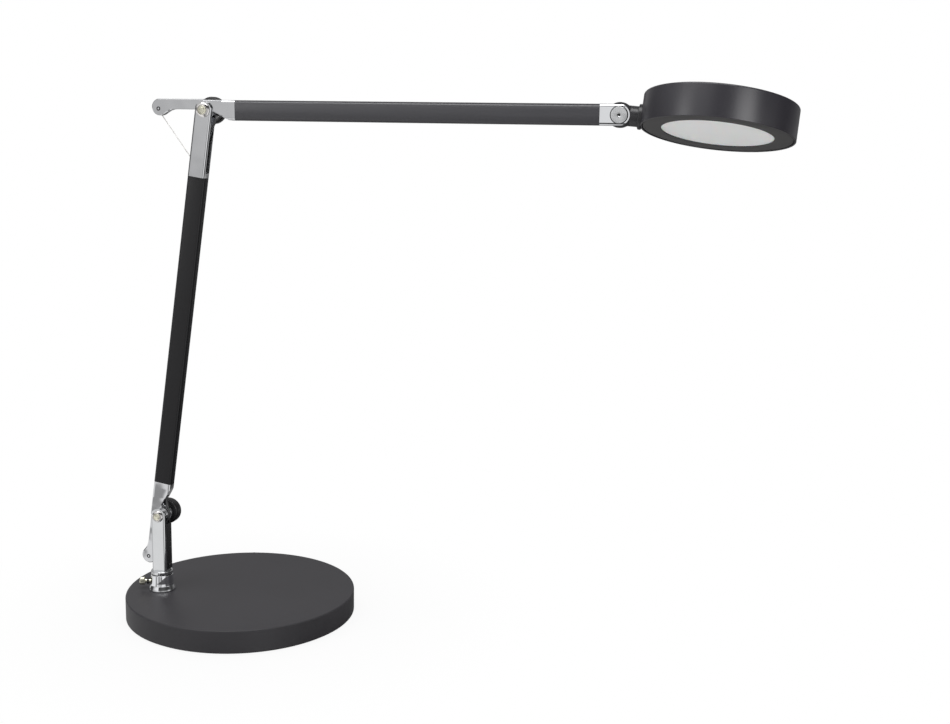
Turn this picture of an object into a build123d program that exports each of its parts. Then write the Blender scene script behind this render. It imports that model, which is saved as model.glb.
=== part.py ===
"""Balance desk lamp: round weighted base, swivelling post, two spring-balanced flat arms, round head.

Row frame, millimetres, +Z up. The origin is the centre of the base's underside. The arms lie in a
plane of constant Y and reach towards +X. Every hinge pin of the arms lies along Y.
An arm's own frame has its origin on the arm's lower pivot, X along the arm, Z towards its upper
(or rear) edge and Y across it. "Near" is the -Y side with the dome caps, "far" the side with the knobs.
"""
from build123d import *
from math import atan2, cos, degrees, hypot, pi, radians, sin
import os

# ---------------------------------------------------------------- clearances
RUNNING = 0.05          # radial play of a shaft or pin in its hole
FACE_GAP = 0.3          # gap between faces that pass each other
SNUG = 0.1              # play of a piece slipped into another one

# ---------------------------------------------------------------- base
BASE_RADIUS = 115.0
BASE_HEIGHT = 23.6
BASE_EDGE_RADIUS = 1.8
COVER_WALL = 1.5
COVER_LIP = 1.2         # height of the cover's lower rim above the table
PAD_THICKNESS = 2.2
WEIGHT_THICKNESS = 11.0
WEIGHT_PLAY = 1.0       # gap between the weight's rim and the cover's wall
BOSS_RADIUS = 6.0
BASE_SCREW_COUNT = 3
BASE_SCREW_INSET = 35.0 # from the base's edge to the circle of its screws
BASE_SCREW_RADIUS = 2.5
BASE_SCREW_HEAD_RADIUS = 4.5
BASE_SCREW_HEAD_HEIGHT = 3.0
BASE_SCREW_BITE = 7.0   # length of thread inside the cover's boss

# ---------------------------------------------------------------- swivel and socket
SWIVEL_INSET = 35.0     # from the base's edge to the swivel axis
SWIVEL_ANGLE = 196.7    # direction of the swivel axis from the base's centre
SOCKET_FOOT_RADIUS = 13.5
SOCKET_TOP_RADIUS = 11.0
SOCKET_WAIST_RADIUS = 11.7
SOCKET_WAIST_HEIGHT = 6.4
SOCKET_RIM_HEIGHT = 1.5
SOCKET_HEIGHT = 16.3
STUB_RADIUS = 9.0
STUB_LENGTH = 9.3
SPIGOT_RADIUS = 6.0
BUSH_WALL = 1.5
BUSH_FLANGE = 0.6
BUSH_FLANGE_RADIUS = 10.5
NUT_WIDTH = 24.0
NUT_HEIGHT = 4.5
RING_THICKNESS = 1.0
RING_RADIUS = 8.2
RING_GROOVE = 0.8
SPIGOT_TAIL = 1.5       # spigot below its retaining ring
SPIGOT_BORE_RADIUS = 3.0
WEIGHT_HOLE_RADIUS = 15.0

# ---------------------------------------------------------------- thumbscrew
THUMB_HEIGHT = 8.2      # above the base's top
THUMB_RADIUS = 2.0
THUMB_HEAD_RADIUS = 4.2
THUMB_HEAD_START = 17.3
THUMB_HEAD_LENGTH = 5.0
THUMB_TIP_GAP = 0.3
THUMB_COLLAR_START = 13.1
THUMB_COLLAR_LENGTH = 1.9
THUMB_COLLAR_RADIUS = 3.2
THUMB_FLUTES = 12
THUMB_FLUTE_RADIUS = 0.5

# ---------------------------------------------------------------- lead inlet
INLET_ANGLE = 106.7
INLET_SLEEVE_RADIUS = 3.9
INLET_FLANGE_RADIUS = 5.2
INLET_FLANGE = 1.4
INLET_SLEEVE_LENGTH = 6.0
INLET_HEIGHT = 17.6

# ---------------------------------------------------------------- post
PIVOT_HEIGHT = 101.6    # height of the lower pivot above the table
POST_WIDTH = 15.5
POST_DEPTH = 13.0
POST_CORNER = 2.3
POST_RING_RADIUS = 10.9
POST_RING_HEIGHT = 3.5
POST_WEB_TOP = 7.5      # height of the front web above the slot's floor
POST_WEB_THICKNESS = 3.3
SLOT_FLOOR = 1.5        # height of the slot's floor above the ring
SLOT_WIDTH = 7.8        # between the cheeks of the post and of the elbow fork
ANCHOR_RADIUS = 1.2
LOWER_ANCHOR_X = -3.0
LOWER_ANCHOR_RISE = 1.8 # height of the anchor pin above the slot's floor
COVER_PROUD = 0.8       # how far the strip stands out of the post's front
COVER_RIB = 2.2         # depth of the strip's rib in the slot
COVER_TOP = -8.1        # height of the strip's top from the lower pivot
COVER_RIB_TOP = -14.0
COVER_REBATE = 1.5      # how far the far cheek's front edge is cut back for the strip
COVER_FAR_EDGE = 6.5
COVER_RELIEF = 6.0      # height of the relief for the lead at the strip's top
COVER_SKIN = 1.3        # wall in front of that relief
COVER_SCREW_RADIUS = 1.25
COVER_SCREW_HEAD_RADIUS = 2.7
COVER_SCREW_HEAD = 1.2
COVER_SCREW_Y = 1.2
POST_LEAD_X = 1.5       # place of the lead in the spigot
SLOT_LEAD_X = 4.0       # place of the lead in the slot

# ---------------------------------------------------------------- arms
LOWER_LEAN = 8.07       # forward lean of the lower arm from the vertical
LOWER_LENGTH = 406.8
UPPER_RISE = 0.26       # rise of the upper arm above the horizontal
UPPER_LENGTH = 392.7
TUBE_WIDTH = 18.9
TUBE_DEPTH = 9.5
TUBE_CORNER = 2.5
TUBE_WALL = 1.2
TUBE_INSERT = 15.0      # length of a fitting's spigot inside a tube
LOWER_TUBE_START = 35.0
LOWER_TUBE_END = 63.4   # from the tube's upper end to the elbow
UPPER_TUBE_START = 31.5
UPPER_TUBE_END = 17.2   # from the tube's end to the head joint

# ---------------------------------------------------------------- castings
BLADE_THICKNESS = 7.2
BLADE_EDGE = 0.8
HUB_RADIUS = 7.0
STEP_RADIUS = 20.0      # the thick part of a casting starts this far from its pivot
UPPER_BOSS = (-46.0, 2.4)
LOWER_BOSS_RISE = 12.3  # the boss keeps this much of the pivot's height above the slot's floor
LOWER_BOSS_Z = 5.8
BOSS_END_RADIUS = 7.9
BOSS_TANGENT = 58.0     # where the tail's flare leaves the boss
UPPER_TAIL_EDGE = 0.5
LOWER_TAIL_EDGE = 8.8
TAIL_BLEND = 14.0
UPPER_CUT = (9.0, 25.0)
LOWER_CUT = (11.0, 30.0)
CUT_HEIGHT = -1.3       # where the diagonal cut starts below the pivot
CUT_LIP = 0.5
WIRE_SLOT = 2.0         # width of the wire's groove in a casting
UPPER_GROOVE = (2.4, 7.2)       # lower and upper edge of the groove
LOWER_GROOVE = (3.6, TUBE_WIDTH)
TAIL_PIN_RADIUS = 1.6
UPPER_PIN_PLACE = (-1.0, -1.5)  # of the tail pin from the boss's centre
LOWER_PIN_PLACE = (-1.0, 0.6)
WIRE_RADIUS = 0.4
WIRE_PLAY = 0.05
EYE_RADIUS = 1.7
EYE_WIDTH = 1.6

# ---------------------------------------------------------------- springs
SPRING_RADIUS = 3.2
SPRING_WIRE = 0.8
SPRING_OFFSET = 4.6     # height of the spring's axis above the tube's axis
SPRING_START = 75.0
SPRING_LENGTH = 150.0
SPRING_PIN_RADIUS = 1.2
SPRING_PIN_SKIN = 0.6   # wall left in front of the pin on the near side

# ---------------------------------------------------------------- pivot bolts, washers and knobs
BOLT_RADIUS = 2.5
ELBOW_CAP_RADIUS = 7.0
LOWER_CAP_RADIUS = 5.8
CAP_RIM = 0.7
CAP_DOME = 1.7
WASHER_RADIUS = 6.5
WASHER_THICKNESS = 0.25
SPACER_RADIUS = 8.5
SPACER_LENGTH = 4.3
KNOB_RADIUS = 12.8
KNOB_THICKNESS = 11.0
KNOB_EDGE = 2.6
KNOB_DISH = 1.2
KNOB_BORE_DEPTH = 8.5

# ---------------------------------------------------------------- elbow fork
FORK_WIDTH = 17.4
FORK_DEPTH = 13.0
FORK_EAR_DROP = 0.7     # the ears' round ends are centred this far below the elbow
FORK_CORNER = 2.5
FORK_FLOOR = 59.0       # depth of the slot below the elbow
ELBOW_ANCHOR_DEPTH = 56.5

# ---------------------------------------------------------------- lead
LEAD_RADIUS = 1.25
LEAD_PLAY = 0.3
LEAD_OFFSET = -4.8      # from a tube's axis, on its front or lower side
LEAD_HOLE_RADIUS = LEAD_RADIUS + LEAD_PLAY
LOWER_LOOP_START = 24.0
UPPER_LOOP_START = 21.0
ELBOW_LOOP_END = 46.0   # depth in the fork where the loop ends
POST_LOOP_END = -20.0   # height below the lower pivot where the loop starts

# ---------------------------------------------------------------- head joint
HEAD_PITCH = 4.4        # the neck points this far below the horizontal
HEAD_ROLL = 12.4        # the head's underside is turned this far towards the near side
EAR_RADIUS = 9.3
BARREL_RADIUS = 11.2
BARREL_LENGTH = 8.2
CAVITY_INNER = 4.4
CAVITY_OUTER = 8.9
CAVITY_DEPTH = 6.2
NECK_RADIUS = 9.0
NECK_END = 16.4
SPINDLE_RADIUS = 4.0
SPINDLE_END = 27.5
CLIP_START = 24.2
CLIP_THICKNESS = 1.0
CLIP_RADIUS = 6.0
CLIP_GROOVE = 0.6
DISC_RADIUS = 8.0
DISC_HEIGHT = 1.5
DISC_DIMPLE = 1.6
DISC_DIMPLE_DEPTH = 0.9
PIVOT_NUT_RADIUS = 5.5
PIVOT_NUT_HEIGHT = 4.0
JOINT_LEAD_RADIUS = 6.65
JOINT_LEAD_Y = 3.2
JOINT_LEAD_ANGLE = 35.0 # where the lead's arc round the joint starts and ends
JOINT_LEAD_STEP = 1.6   # the lead in the fitting ends this far on the near side of the arc
LEAD_MOUTH_RADIUS = 2.9 # rounded mouth of the neck's bore in the cavity
EAR_LEAD_Y = -1.8
NECK_LEAD_START = 10.5

# ---------------------------------------------------------------- bends of the lead
INLET_RUN = 30.0        # straight run behind the gland
BASE_BENDS = (12.0, 4.0, 4.0, 4.0)
POST_BENDS = (12.0, 12.0)
LOWER_BENDS = (7.0, 10.0, 10.0)
ELBOW_BENDS = (20.0, 9.0, 6.0)
ELBOW_RISE = 28.0       # depth in the fork where the lead starts to leave the slot
ELBOW_BOW = (-10.0, -11.5)      # the lead's outermost place, from the elbow
TUBE_BENDS = (30.0, 30.0, 2.0)
NECK_BENDS = (5.0, 5.0)

# ---------------------------------------------------------------- head
HEAD_OFFSET = 86.0      # from the head joint to the head's axis, along the neck
HEAD_RADIUS = 66.9
HEAD_HEIGHT = 28.3
HEAD_BELOW_NECK = 9.0   # from the neck's axis down to the head's lower rim
HEAD_EDGE = 1.6
SHELL_WALL = 1.6
SHELL_TOP = 1.8
COLLAR_RADIUS = 11.1
COLLAR_EDGE = 0.7
HUB_BOSS_RADIUS = 6.4
BEZEL_RECESS = 0.5
BEZEL_THICKNESS = 2.8
WINDOW_RADIUS = 48.5
DIFFUSER_RECESS = 1.3
DIFFUSER_THICKNESS = 2.0
DIFFUSER_LAP = 1.7
PLATE_RADIUS = 55.0
PLATE_BOTTOM = 3.4
PLATE_THICKNESS = 2.4
BOARD_RADIUS = 51.0
BOARD_THICKNESS = 1.6
CHIP_SIZE = 3.0
CHIP_HEIGHT = 0.8
CHIP_RING_RADII = (20.0, 38.0)
CHIP_RING_COUNTS = (8, 16)
POST_COUNT = 3
HEAD_POST_CIRCLE = 28.0
HEAD_POST_RADIUS = 4.0
HEAD_SCREW_RADIUS = 1.5
HEAD_SCREW_HEAD_RADIUS = 2.8
HEAD_SCREW_HEAD = 1.4
HEAD_SCREW_BITE = 7.0
BUTTON_OFFSET = 50.0    # from the head's axis back towards the neck
BUTTON_RADIUS = 6.0
BUTTON_PLAY = 0.2
BUTTON_PROUD = 1.2
BUTTON_TRAVEL = 1.0
BUTTON_FLANGE = 1.3
BUTTON_FLANGE_RADIUS = 7.4
BUTTON_STEM_RADIUS = 2.0
SWITCH_SIZE = 11.0
SWITCH_HEIGHT = 6.0

# ---------------------------------------------------------------- places worked out from the sizes
SWIVEL_OFFSET = BASE_RADIUS - SWIVEL_INSET
SWIVEL_X = SWIVEL_OFFSET * cos(radians(SWIVEL_ANGLE))
SWIVEL_Y = SWIVEL_OFFSET * sin(radians(SWIVEL_ANGLE))
SWIVEL = Pos(SWIVEL_X, SWIVEL_Y, 0)
LOWER_FRAME = Pos(SWIVEL_X, SWIVEL_Y, PIVOT_HEIGHT) * Rot(0, LOWER_LEAN - 90, 0)
ELBOW_FRAME = LOWER_FRAME * Pos(LOWER_LENGTH, 0, 0)
UPPER_FRAME = Pos(ELBOW_FRAME.position) * Rot(0, -UPPER_RISE, 0)
HEAD_JOINT = UPPER_FRAME * Pos(UPPER_LENGTH, 0, 0)
KNUCKLE_FRAME = Pos(HEAD_JOINT.position) * Rot(0, HEAD_PITCH, 0)
HEAD_FRAME = KNUCKLE_FRAME * Rot(-HEAD_ROLL, 0, 0)
PIVOT_FRAME = SWIVEL * Pos(0, 0, PIVOT_HEIGHT)
COVER_INSIDE = BASE_HEIGHT - COVER_WALL
WEIGHT_TOP = PAD_THICKNESS + WEIGHT_THICKNESS
SOCKET_TOP = BASE_HEIGHT + SOCKET_HEIGHT
STUB_BOTTOM = BASE_HEIGHT - STUB_LENGTH
RING_TOP = STUB_BOTTOM - FACE_GAP
SPIGOT_BOTTOM = RING_TOP - RING_THICKNESS - SPIGOT_TAIL
POST_BOTTOM = SOCKET_TOP + BUSH_FLANGE
POST_FOOT = POST_BOTTOM + POST_RING_HEIGHT
SLOT_BOTTOM = POST_FOOT + SLOT_FLOOR
SLOT_HEIGHT = PIVOT_HEIGHT - SLOT_BOTTOM
LOWER_ANCHOR = (LOWER_ANCHOR_X, LOWER_ANCHOR_RISE - SLOT_HEIGHT)
LOWER_BOSS = (LOWER_BOSS_RISE - SLOT_HEIGHT, LOWER_BOSS_Z)
LOWER_TAIL_PIN = (LOWER_BOSS[0] + LOWER_PIN_PLACE[0], LOWER_BOSS[1] + LOWER_PIN_PLACE[1])
UPPER_TAIL_PIN = (UPPER_BOSS[0] + UPPER_PIN_PLACE[0], UPPER_BOSS[1] + UPPER_PIN_PLACE[1])
TUBE_INNER_WIDTH = TUBE_WIDTH - 2 * TUBE_WALL
TUBE_INNER_DEPTH = TUBE_DEPTH - 2 * TUBE_WALL
TUBE_INNER_CORNER = TUBE_CORNER - TUBE_WALL
HEAD_BOTTOM = -HEAD_BELOW_NECK
HEAD_TOP = HEAD_BOTTOM + HEAD_HEIGHT
ROOF = HEAD_TOP - SHELL_TOP
PLATE_TOP = PLATE_BOTTOM + PLATE_THICKNESS
BOARD_BOTTOM = PLATE_BOTTOM - BOARD_THICKNESS


# ---------------------------------------------------------------- shared shapes
def bar_x(radius, start, end, y=0.0, z=0.0):
    """Round bar along X."""
    disc = Plane(origin=(start, y, z), z_dir=(1, 0, 0)) * Circle(radius)
    return extrude(disc, amount=end - start)


def bar_y(radius, start, end, x=0.0, z=0.0):
    """Round bar along Y."""
    disc = Plane(origin=(x, start, z), z_dir=(0, 1, 0)) * Circle(radius)
    return extrude(disc, amount=end - start)


def bar_z(radius, bottom, top, x=0.0, y=0.0):
    """Round bar along Z."""
    return extrude(Pos(x, y, bottom) * Circle(radius), amount=top - bottom)


def block(low, high):
    """Box between two corners."""
    size = [b - a for a, b in zip(low, high)]
    middle = [(a + b) / 2 for a, b in zip(low, high)]
    return Pos(*middle) * Box(*size)


def flat_bar(start, end, width, depth, corner):
    """Bar along X with rounded corners, depth across Y and width across Z."""
    section = Plane(origin=(start, 0, 0), x_dir=(0, 1, 0), z_dir=(1, 0, 0)) * RectangleRounded(
        depth, width, corner)
    return extrude(section, amount=end - start)


def turned(points):
    """Solid of revolution about Z from (radius, height) points."""
    return revolve(make_face(Plane.XZ * Polyline(*points, close=True)), Axis.Z)


def turned_y(points):
    """Solid of revolution about Y from (radius, y) points."""
    outline = make_face(Plane.XY * Polyline(*points, close=True))
    return revolve(outline, Axis.Y)


def lead_along(points, radii, radius=LEAD_RADIUS):
    """Round lead along straight runs joined by tangent arcs."""
    path = FilletPolyline(*points, radius=list(radii))
    return sweep(Plane(origin=path @ 0, z_dir=path % 0) * Circle(radius), path=path)


def ring_places(count, radius, first_angle=0.0):
    """Evenly spaced places on a circle."""
    return [
        (radius * cos(radians(first_angle + 360 * i / count)),
         radius * sin(radians(first_angle + 360 * i / count)))
        for i in range(count)
    ]


def tangent_point(centre, radius, target, turn):
    """Point where a line from target touches a circle; turn is +1 or -1."""
    dx = target[0] - centre[0]
    dz = target[1] - centre[1]
    reach = hypot(dx, dz)
    swing = turn * degrees(atan2((reach ** 2 - radius ** 2) ** 0.5, radius))
    angle = radians(degrees(atan2(dz, dx)) + swing)
    return (centre[0] + radius * cos(angle), centre[1] + radius * sin(angle))


# ---------------------------------------------------------------- base pieces
def base_screw_places():
    """Screw places in the base, clear of the swivel."""
    return ring_places(BASE_SCREW_COUNT, BASE_RADIUS - BASE_SCREW_INSET, SWIVEL_ANGLE + 60)


def inlet_frame():
    """Frame on the inlet's axis, X pointing out of the base."""
    return Rot(0, 0, INLET_ANGLE) * Pos(0, 0, INLET_HEIGHT)


def base_cover():
    """Pressed steel cover, open below, with bosses for the screws."""
    cover = bar_z(BASE_RADIUS, COVER_LIP, BASE_HEIGHT)
    cover = fillet(cover.edges().group_by(Axis.Z)[-1], BASE_EDGE_RADIUS)
    inner = bar_z(BASE_RADIUS - COVER_WALL, 0, COVER_INSIDE)
    cover -= inner
    for x, y in base_screw_places():
        cover += bar_z(BOSS_RADIUS, WEIGHT_TOP, COVER_INSIDE, x, y)
    for x, y in base_screw_places():
        cover -= bar_z(BASE_SCREW_RADIUS + RUNNING, WEIGHT_TOP, WEIGHT_TOP + BASE_SCREW_BITE + SNUG, x, y)
    cover -= SWIVEL * bar_z(STUB_RADIUS + SNUG, 0, BASE_HEIGHT + 1)
    hole = bar_x(INLET_SLEEVE_RADIUS + RUNNING, BASE_RADIUS - 2 * COVER_WALL, BASE_RADIUS + 1)
    cover -= inlet_frame() * hole
    return cover


def base_weight():
    """Cast iron disc with holes for the screws and the swivel."""
    weight = bar_z(BASE_RADIUS - COVER_WALL - WEIGHT_PLAY, PAD_THICKNESS, WEIGHT_TOP)
    for x, y in base_screw_places():
        weight -= bar_z(BASE_SCREW_RADIUS + SNUG, PAD_THICKNESS, WEIGHT_TOP, x, y)
        weight -= bar_z(BASE_SCREW_HEAD_RADIUS + FACE_GAP, PAD_THICKNESS,
                        PAD_THICKNESS + BASE_SCREW_HEAD_HEIGHT, x, y)
    weight -= SWIVEL * bar_z(WEIGHT_HOLE_RADIUS, PAD_THICKNESS, WEIGHT_TOP)
    return weight


def base_pad():
    """Foam pad that the lamp stands on."""
    return bar_z(BASE_RADIUS - COVER_WALL - WEIGHT_PLAY, 0, PAD_THICKNESS)


def base_screws():
    """Screws from below, through the weight into the cover's bosses."""
    screws = []
    for x, y in base_screw_places():
        top = PAD_THICKNESS + BASE_SCREW_HEAD_HEIGHT
        head = bar_z(BASE_SCREW_HEAD_RADIUS, PAD_THICKNESS, top, x, y)
        screws.append(head + bar_z(BASE_SCREW_RADIUS, top, WEIGHT_TOP + BASE_SCREW_BITE, x, y))
    return Compound(children=screws)


def socket():
    """Chrome bell with a threaded stub through the cover."""
    rim = BASE_HEIGHT + SOCKET_RIM_HEIGHT
    waist = BASE_HEIGHT + SOCKET_WAIST_HEIGHT
    outline = Polyline((0, BASE_HEIGHT), (SOCKET_FOOT_RADIUS, BASE_HEIGHT), (SOCKET_FOOT_RADIUS, rim))
    flare = TangentArc((SOCKET_FOOT_RADIUS, rim), (SOCKET_WAIST_RADIUS, waist), tangent=(-0.15, 1))
    shoulder = Polyline((SOCKET_WAIST_RADIUS, waist), (SOCKET_TOP_RADIUS, SOCKET_TOP), (0, SOCKET_TOP),
                        (0, BASE_HEIGHT))
    bell = revolve(make_face(Plane.XZ * Curve([outline, flare, shoulder])), Axis.Z)
    bell += bar_z(STUB_RADIUS, STUB_BOTTOM, BASE_HEIGHT)
    bell -= bar_z(SPIGOT_RADIUS + BUSH_WALL + RUNNING, BASE_HEIGHT, SOCKET_TOP)
    bell -= bar_z(SPIGOT_RADIUS + FACE_GAP, STUB_BOTTOM, BASE_HEIGHT)
    placed = SWIVEL * bell
    return placed - thumb_frame() * bar_x(THUMB_RADIUS + RUNNING, SPIGOT_RADIUS, SOCKET_FOOT_RADIUS)


def socket_nut():
    """Hexagon nut under the cover."""
    hexagon = RegularPolygon(NUT_WIDTH / 2, 6, major_radius=False)
    nut = extrude(Pos(0, 0, COVER_INSIDE - NUT_HEIGHT) * hexagon, amount=NUT_HEIGHT)
    return SWIVEL * (nut - bar_z(STUB_RADIUS + RUNNING, STUB_BOTTOM, COVER_INSIDE))


def swivel_bush():
    """Flanged plastic bush between the socket and the post's spigot."""
    outer = SPIGOT_RADIUS + BUSH_WALL
    bush = bar_z(outer, BASE_HEIGHT, SOCKET_TOP) + bar_z(BUSH_FLANGE_RADIUS, SOCKET_TOP, POST_BOTTOM)
    bush -= bar_z(SPIGOT_RADIUS + RUNNING, BASE_HEIGHT, POST_BOTTOM)
    return SWIVEL * bush - thumb_frame() * bar_x(THUMB_RADIUS + SNUG, 0, SOCKET_FOOT_RADIUS)


def lead_gland():
    """Rubber gland in the cover's wall, behind the base."""
    face = (BASE_RADIUS ** 2 - INLET_FLANGE_RADIUS ** 2) ** 0.5
    gland = bar_x(INLET_FLANGE_RADIUS, face, BASE_RADIUS + INLET_FLANGE)
    gland -= Pos(0, 0, -INLET_HEIGHT) * bar_z(BASE_RADIUS, 0, BASE_HEIGHT)
    gland += bar_x(INLET_SLEEVE_RADIUS, BASE_RADIUS - INLET_SLEEVE_LENGTH, BASE_RADIUS + INLET_FLANGE / 2)
    gland -= bar_x(LEAD_HOLE_RADIUS, 0, BASE_RADIUS + 2 * INLET_FLANGE)
    return inlet_frame() * gland


def base_lead():
    """Lead from the gland's mouth through the base to the foot of the post's spigot."""
    start = (inlet_frame() * Pos(BASE_RADIUS + INLET_FLANGE, 0, 0)).position
    run_in = (inlet_frame() * Pos(BASE_RADIUS - INLET_SLEEVE_LENGTH - INLET_RUN, 0, 0)).position
    lead_x = SWIVEL_X + POST_LEAD_X
    beside = WEIGHT_HOLE_RADIUS - LEAD_RADIUS - 3 * FACE_GAP
    out_x = lead_x + beside * (run_in.X - lead_x) / hypot(run_in.X - lead_x, run_in.Y - SWIVEL_Y)
    out_y = SWIVEL_Y + beside * (run_in.Y - SWIVEL_Y) / hypot(run_in.X - lead_x, run_in.Y - SWIVEL_Y)
    low = PAD_THICKNESS + 2 * LEAD_RADIUS
    points = [start, run_in, (out_x, out_y, INLET_HEIGHT), (out_x, out_y, low), (lead_x, SWIVEL_Y, low),
              (lead_x, SWIVEL_Y, SPIGOT_BOTTOM)]
    return lead_along(points, BASE_BENDS)


# ---------------------------------------------------------------- thumbscrew
def thumb_frame():
    """Frame on the thumbscrew's axis, X pointing away from the swivel axis."""
    return SWIVEL * Rot(0, 0, SWIVEL_ANGLE) * Pos(0, 0, BASE_HEIGHT + THUMB_HEIGHT)


def thumbscrew():
    """Small fluted screw that brakes the swivel."""
    end = THUMB_HEAD_START + THUMB_HEAD_LENGTH
    head = bar_x(THUMB_HEAD_RADIUS, THUMB_HEAD_START, end)
    head = fillet(head.edges(), 0.5)
    for y, z in ring_places(THUMB_FLUTES, THUMB_HEAD_RADIUS):
        head -= bar_x(THUMB_FLUTE_RADIUS, THUMB_HEAD_START, end, y, z)
    shank = bar_x(THUMB_RADIUS, SPIGOT_RADIUS + THUMB_TIP_GAP, THUMB_HEAD_START)
    return thumb_frame() * (head + shank)


def thumbscrew_collar():
    """Dark collar on the thumbscrew's shank."""
    end = THUMB_COLLAR_START + THUMB_COLLAR_LENGTH
    collar = bar_x(THUMB_COLLAR_RADIUS, THUMB_COLLAR_START, end)
    return thumb_frame() * (collar - bar_x(THUMB_RADIUS, THUMB_COLLAR_START, end))


# ---------------------------------------------------------------- post pieces
COVER_SCREW_Z = SLOT_BOTTOM + POST_WEB_TOP / 2


def post():
    """Chrome post: spigot, ring, two cheeks with rounded ears and a web at the front foot."""
    height = PIVOT_HEIGHT - POST_FOOT
    front = POST_WIDTH / 2
    section = Pos(0, 0, POST_FOOT) * RectangleRounded(POST_WIDTH, POST_DEPTH, POST_CORNER)
    cheeks = extrude(section, amount=height + front)
    side = Plane.XZ * (Pos(0, POST_FOOT + height / 2) * Rectangle(POST_WIDTH, height)
                       + Pos(0, PIVOT_HEIGHT) * Circle(front))
    cheeks = cheeks & extrude(side, amount=POST_DEPTH, both=True)
    slot_half = SLOT_WIDTH / 2
    cheeks -= block((-POST_WIDTH, -slot_half, SLOT_BOTTOM), (POST_WIDTH, slot_half, 2 * PIVOT_HEIGHT))
    rebate_top = PIVOT_HEIGHT + COVER_TOP
    cheeks -= block((front - COVER_REBATE, 0, SLOT_BOTTOM), (POST_WIDTH, POST_DEPTH, rebate_top))
    web_back = front - POST_WEB_THICKNESS
    web = block((web_back, -slot_half - 1, SLOT_BOTTOM),
                (front - COVER_REBATE, slot_half + 1, SLOT_BOTTOM + POST_WEB_TOP))
    foot = bar_z(POST_RING_RADIUS, POST_BOTTOM, POST_FOOT)
    foot = fillet(foot.edges(), 0.7)
    whole = cheeks + web + foot + bar_z(SPIGOT_RADIUS, SPIGOT_BOTTOM, POST_FOOT)
    whole -= bar_z(SPIGOT_BORE_RADIUS, SPIGOT_BOTTOM, SLOT_BOTTOM)
    groove = bar_z(SPIGOT_RADIUS + 1, RING_TOP - RING_THICKNESS, RING_TOP)
    whole -= groove - bar_z(SPIGOT_RADIUS - RING_GROOVE, RING_TOP - RING_THICKNESS, RING_TOP)
    whole -= bar_y(BOLT_RADIUS + RUNNING, -POST_DEPTH, POST_DEPTH, 0, PIVOT_HEIGHT)
    anchor_z = PIVOT_HEIGHT + LOWER_ANCHOR[1]
    whole -= bar_y(ANCHOR_RADIUS, -POST_DEPTH / 2 + 0.6, POST_DEPTH / 2 - 0.6, LOWER_ANCHOR[0], anchor_z)
    whole -= bar_x(COVER_SCREW_RADIUS + RUNNING, web_back, POST_WIDTH, COVER_SCREW_Y, COVER_SCREW_Z)
    return SWIVEL * whole


def post_ring():
    """Retaining ring in the spigot's groove."""
    ring = bar_z(RING_RADIUS, RING_TOP - RING_THICKNESS, RING_TOP)
    ring -= bar_z(SPIGOT_RADIUS - RING_GROOVE, RING_TOP - RING_THICKNESS, RING_TOP)
    return SWIVEL * ring


def post_cover():
    """Black strip that closes the slot's front and laps over the far cheek's edge."""
    front = POST_WIDTH / 2
    face = front + COVER_PROUD
    rib_half = SLOT_WIDTH / 2 - SNUG
    top = PIVOT_HEIGHT + COVER_TOP
    plate = block((front - COVER_REBATE, -rib_half, SLOT_BOTTOM), (face, COVER_FAR_EDGE, top))
    plate = fillet(plate.edges().filter_by(Axis.Z).group_by(Axis.X)[-1], COVER_PROUD)
    rib = block((front - COVER_RIB, -rib_half, SLOT_BOTTOM + POST_WEB_TOP + SNUG),
                (front, rib_half, PIVOT_HEIGHT + COVER_RIB_TOP))
    strip = plate + rib
    relief = LEAD_RADIUS + LEAD_PLAY
    strip -= block((0, -relief, top - COVER_RELIEF), (face - COVER_SKIN, relief, top))
    strip -= bar_x(COVER_SCREW_RADIUS + RUNNING, front - COVER_RIB, face, COVER_SCREW_Y, COVER_SCREW_Z)
    return SWIVEL * strip


def cover_screw():
    """Pan head screw at the strip's foot."""
    face = POST_WIDTH / 2 + COVER_PROUD
    head = bar_x(COVER_SCREW_HEAD_RADIUS, face, face + COVER_SCREW_HEAD, COVER_SCREW_Y, COVER_SCREW_Z)
    head = fillet(head.edges().group_by(Axis.X)[-1], COVER_SCREW_HEAD * 0.6)
    back = POST_WIDTH / 2 - POST_WEB_THICKNESS
    shank = bar_x(COVER_SCREW_RADIUS, back, face, COVER_SCREW_Y, COVER_SCREW_Z)
    return SWIVEL * (head + shank)


def lower_anchor_pin():
    """Pin across the post's foot for the lower balance wire."""
    pin = bar_y(ANCHOR_RADIUS, -POST_DEPTH / 2 + 0.6, POST_DEPTH / 2 - 0.6, LOWER_ANCHOR[0], LOWER_ANCHOR[1])
    return PIVOT_FRAME * pin


def post_lead():
    """Lead up the spigot and the slot, behind the strip."""
    high = PIVOT_HEIGHT + POST_LOOP_END
    web_top = SLOT_BOTTOM + POST_WEB_TOP
    points = [(POST_LEAD_X, 0, SPIGOT_BOTTOM), (POST_LEAD_X, 0, web_top - 3),
              (SLOT_LEAD_X, 0, web_top + 6), (SLOT_LEAD_X, 0, high)]
    return SWIVEL * lead_along(points, POST_BENDS)


# ---------------------------------------------------------------- pivot hardware
def pivot_bolt(ear_face, far_face, cap_radius):
    """Bolt along Y with a domed cap at its near end."""
    bolt = bar_y(BOLT_RADIUS, -ear_face, far_face + SPACER_LENGTH + KNOB_BORE_DEPTH)
    rim = -ear_face - CAP_RIM
    bolt += bar_y(cap_radius, rim, -ear_face)
    ball_radius = (cap_radius ** 2 + CAP_DOME ** 2) / (2 * CAP_DOME)
    ball = Pos(0, rim - CAP_DOME + ball_radius, 0) * Sphere(ball_radius)
    return bolt + (ball & bar_y(cap_radius, rim - 2 * CAP_DOME, rim))


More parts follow.
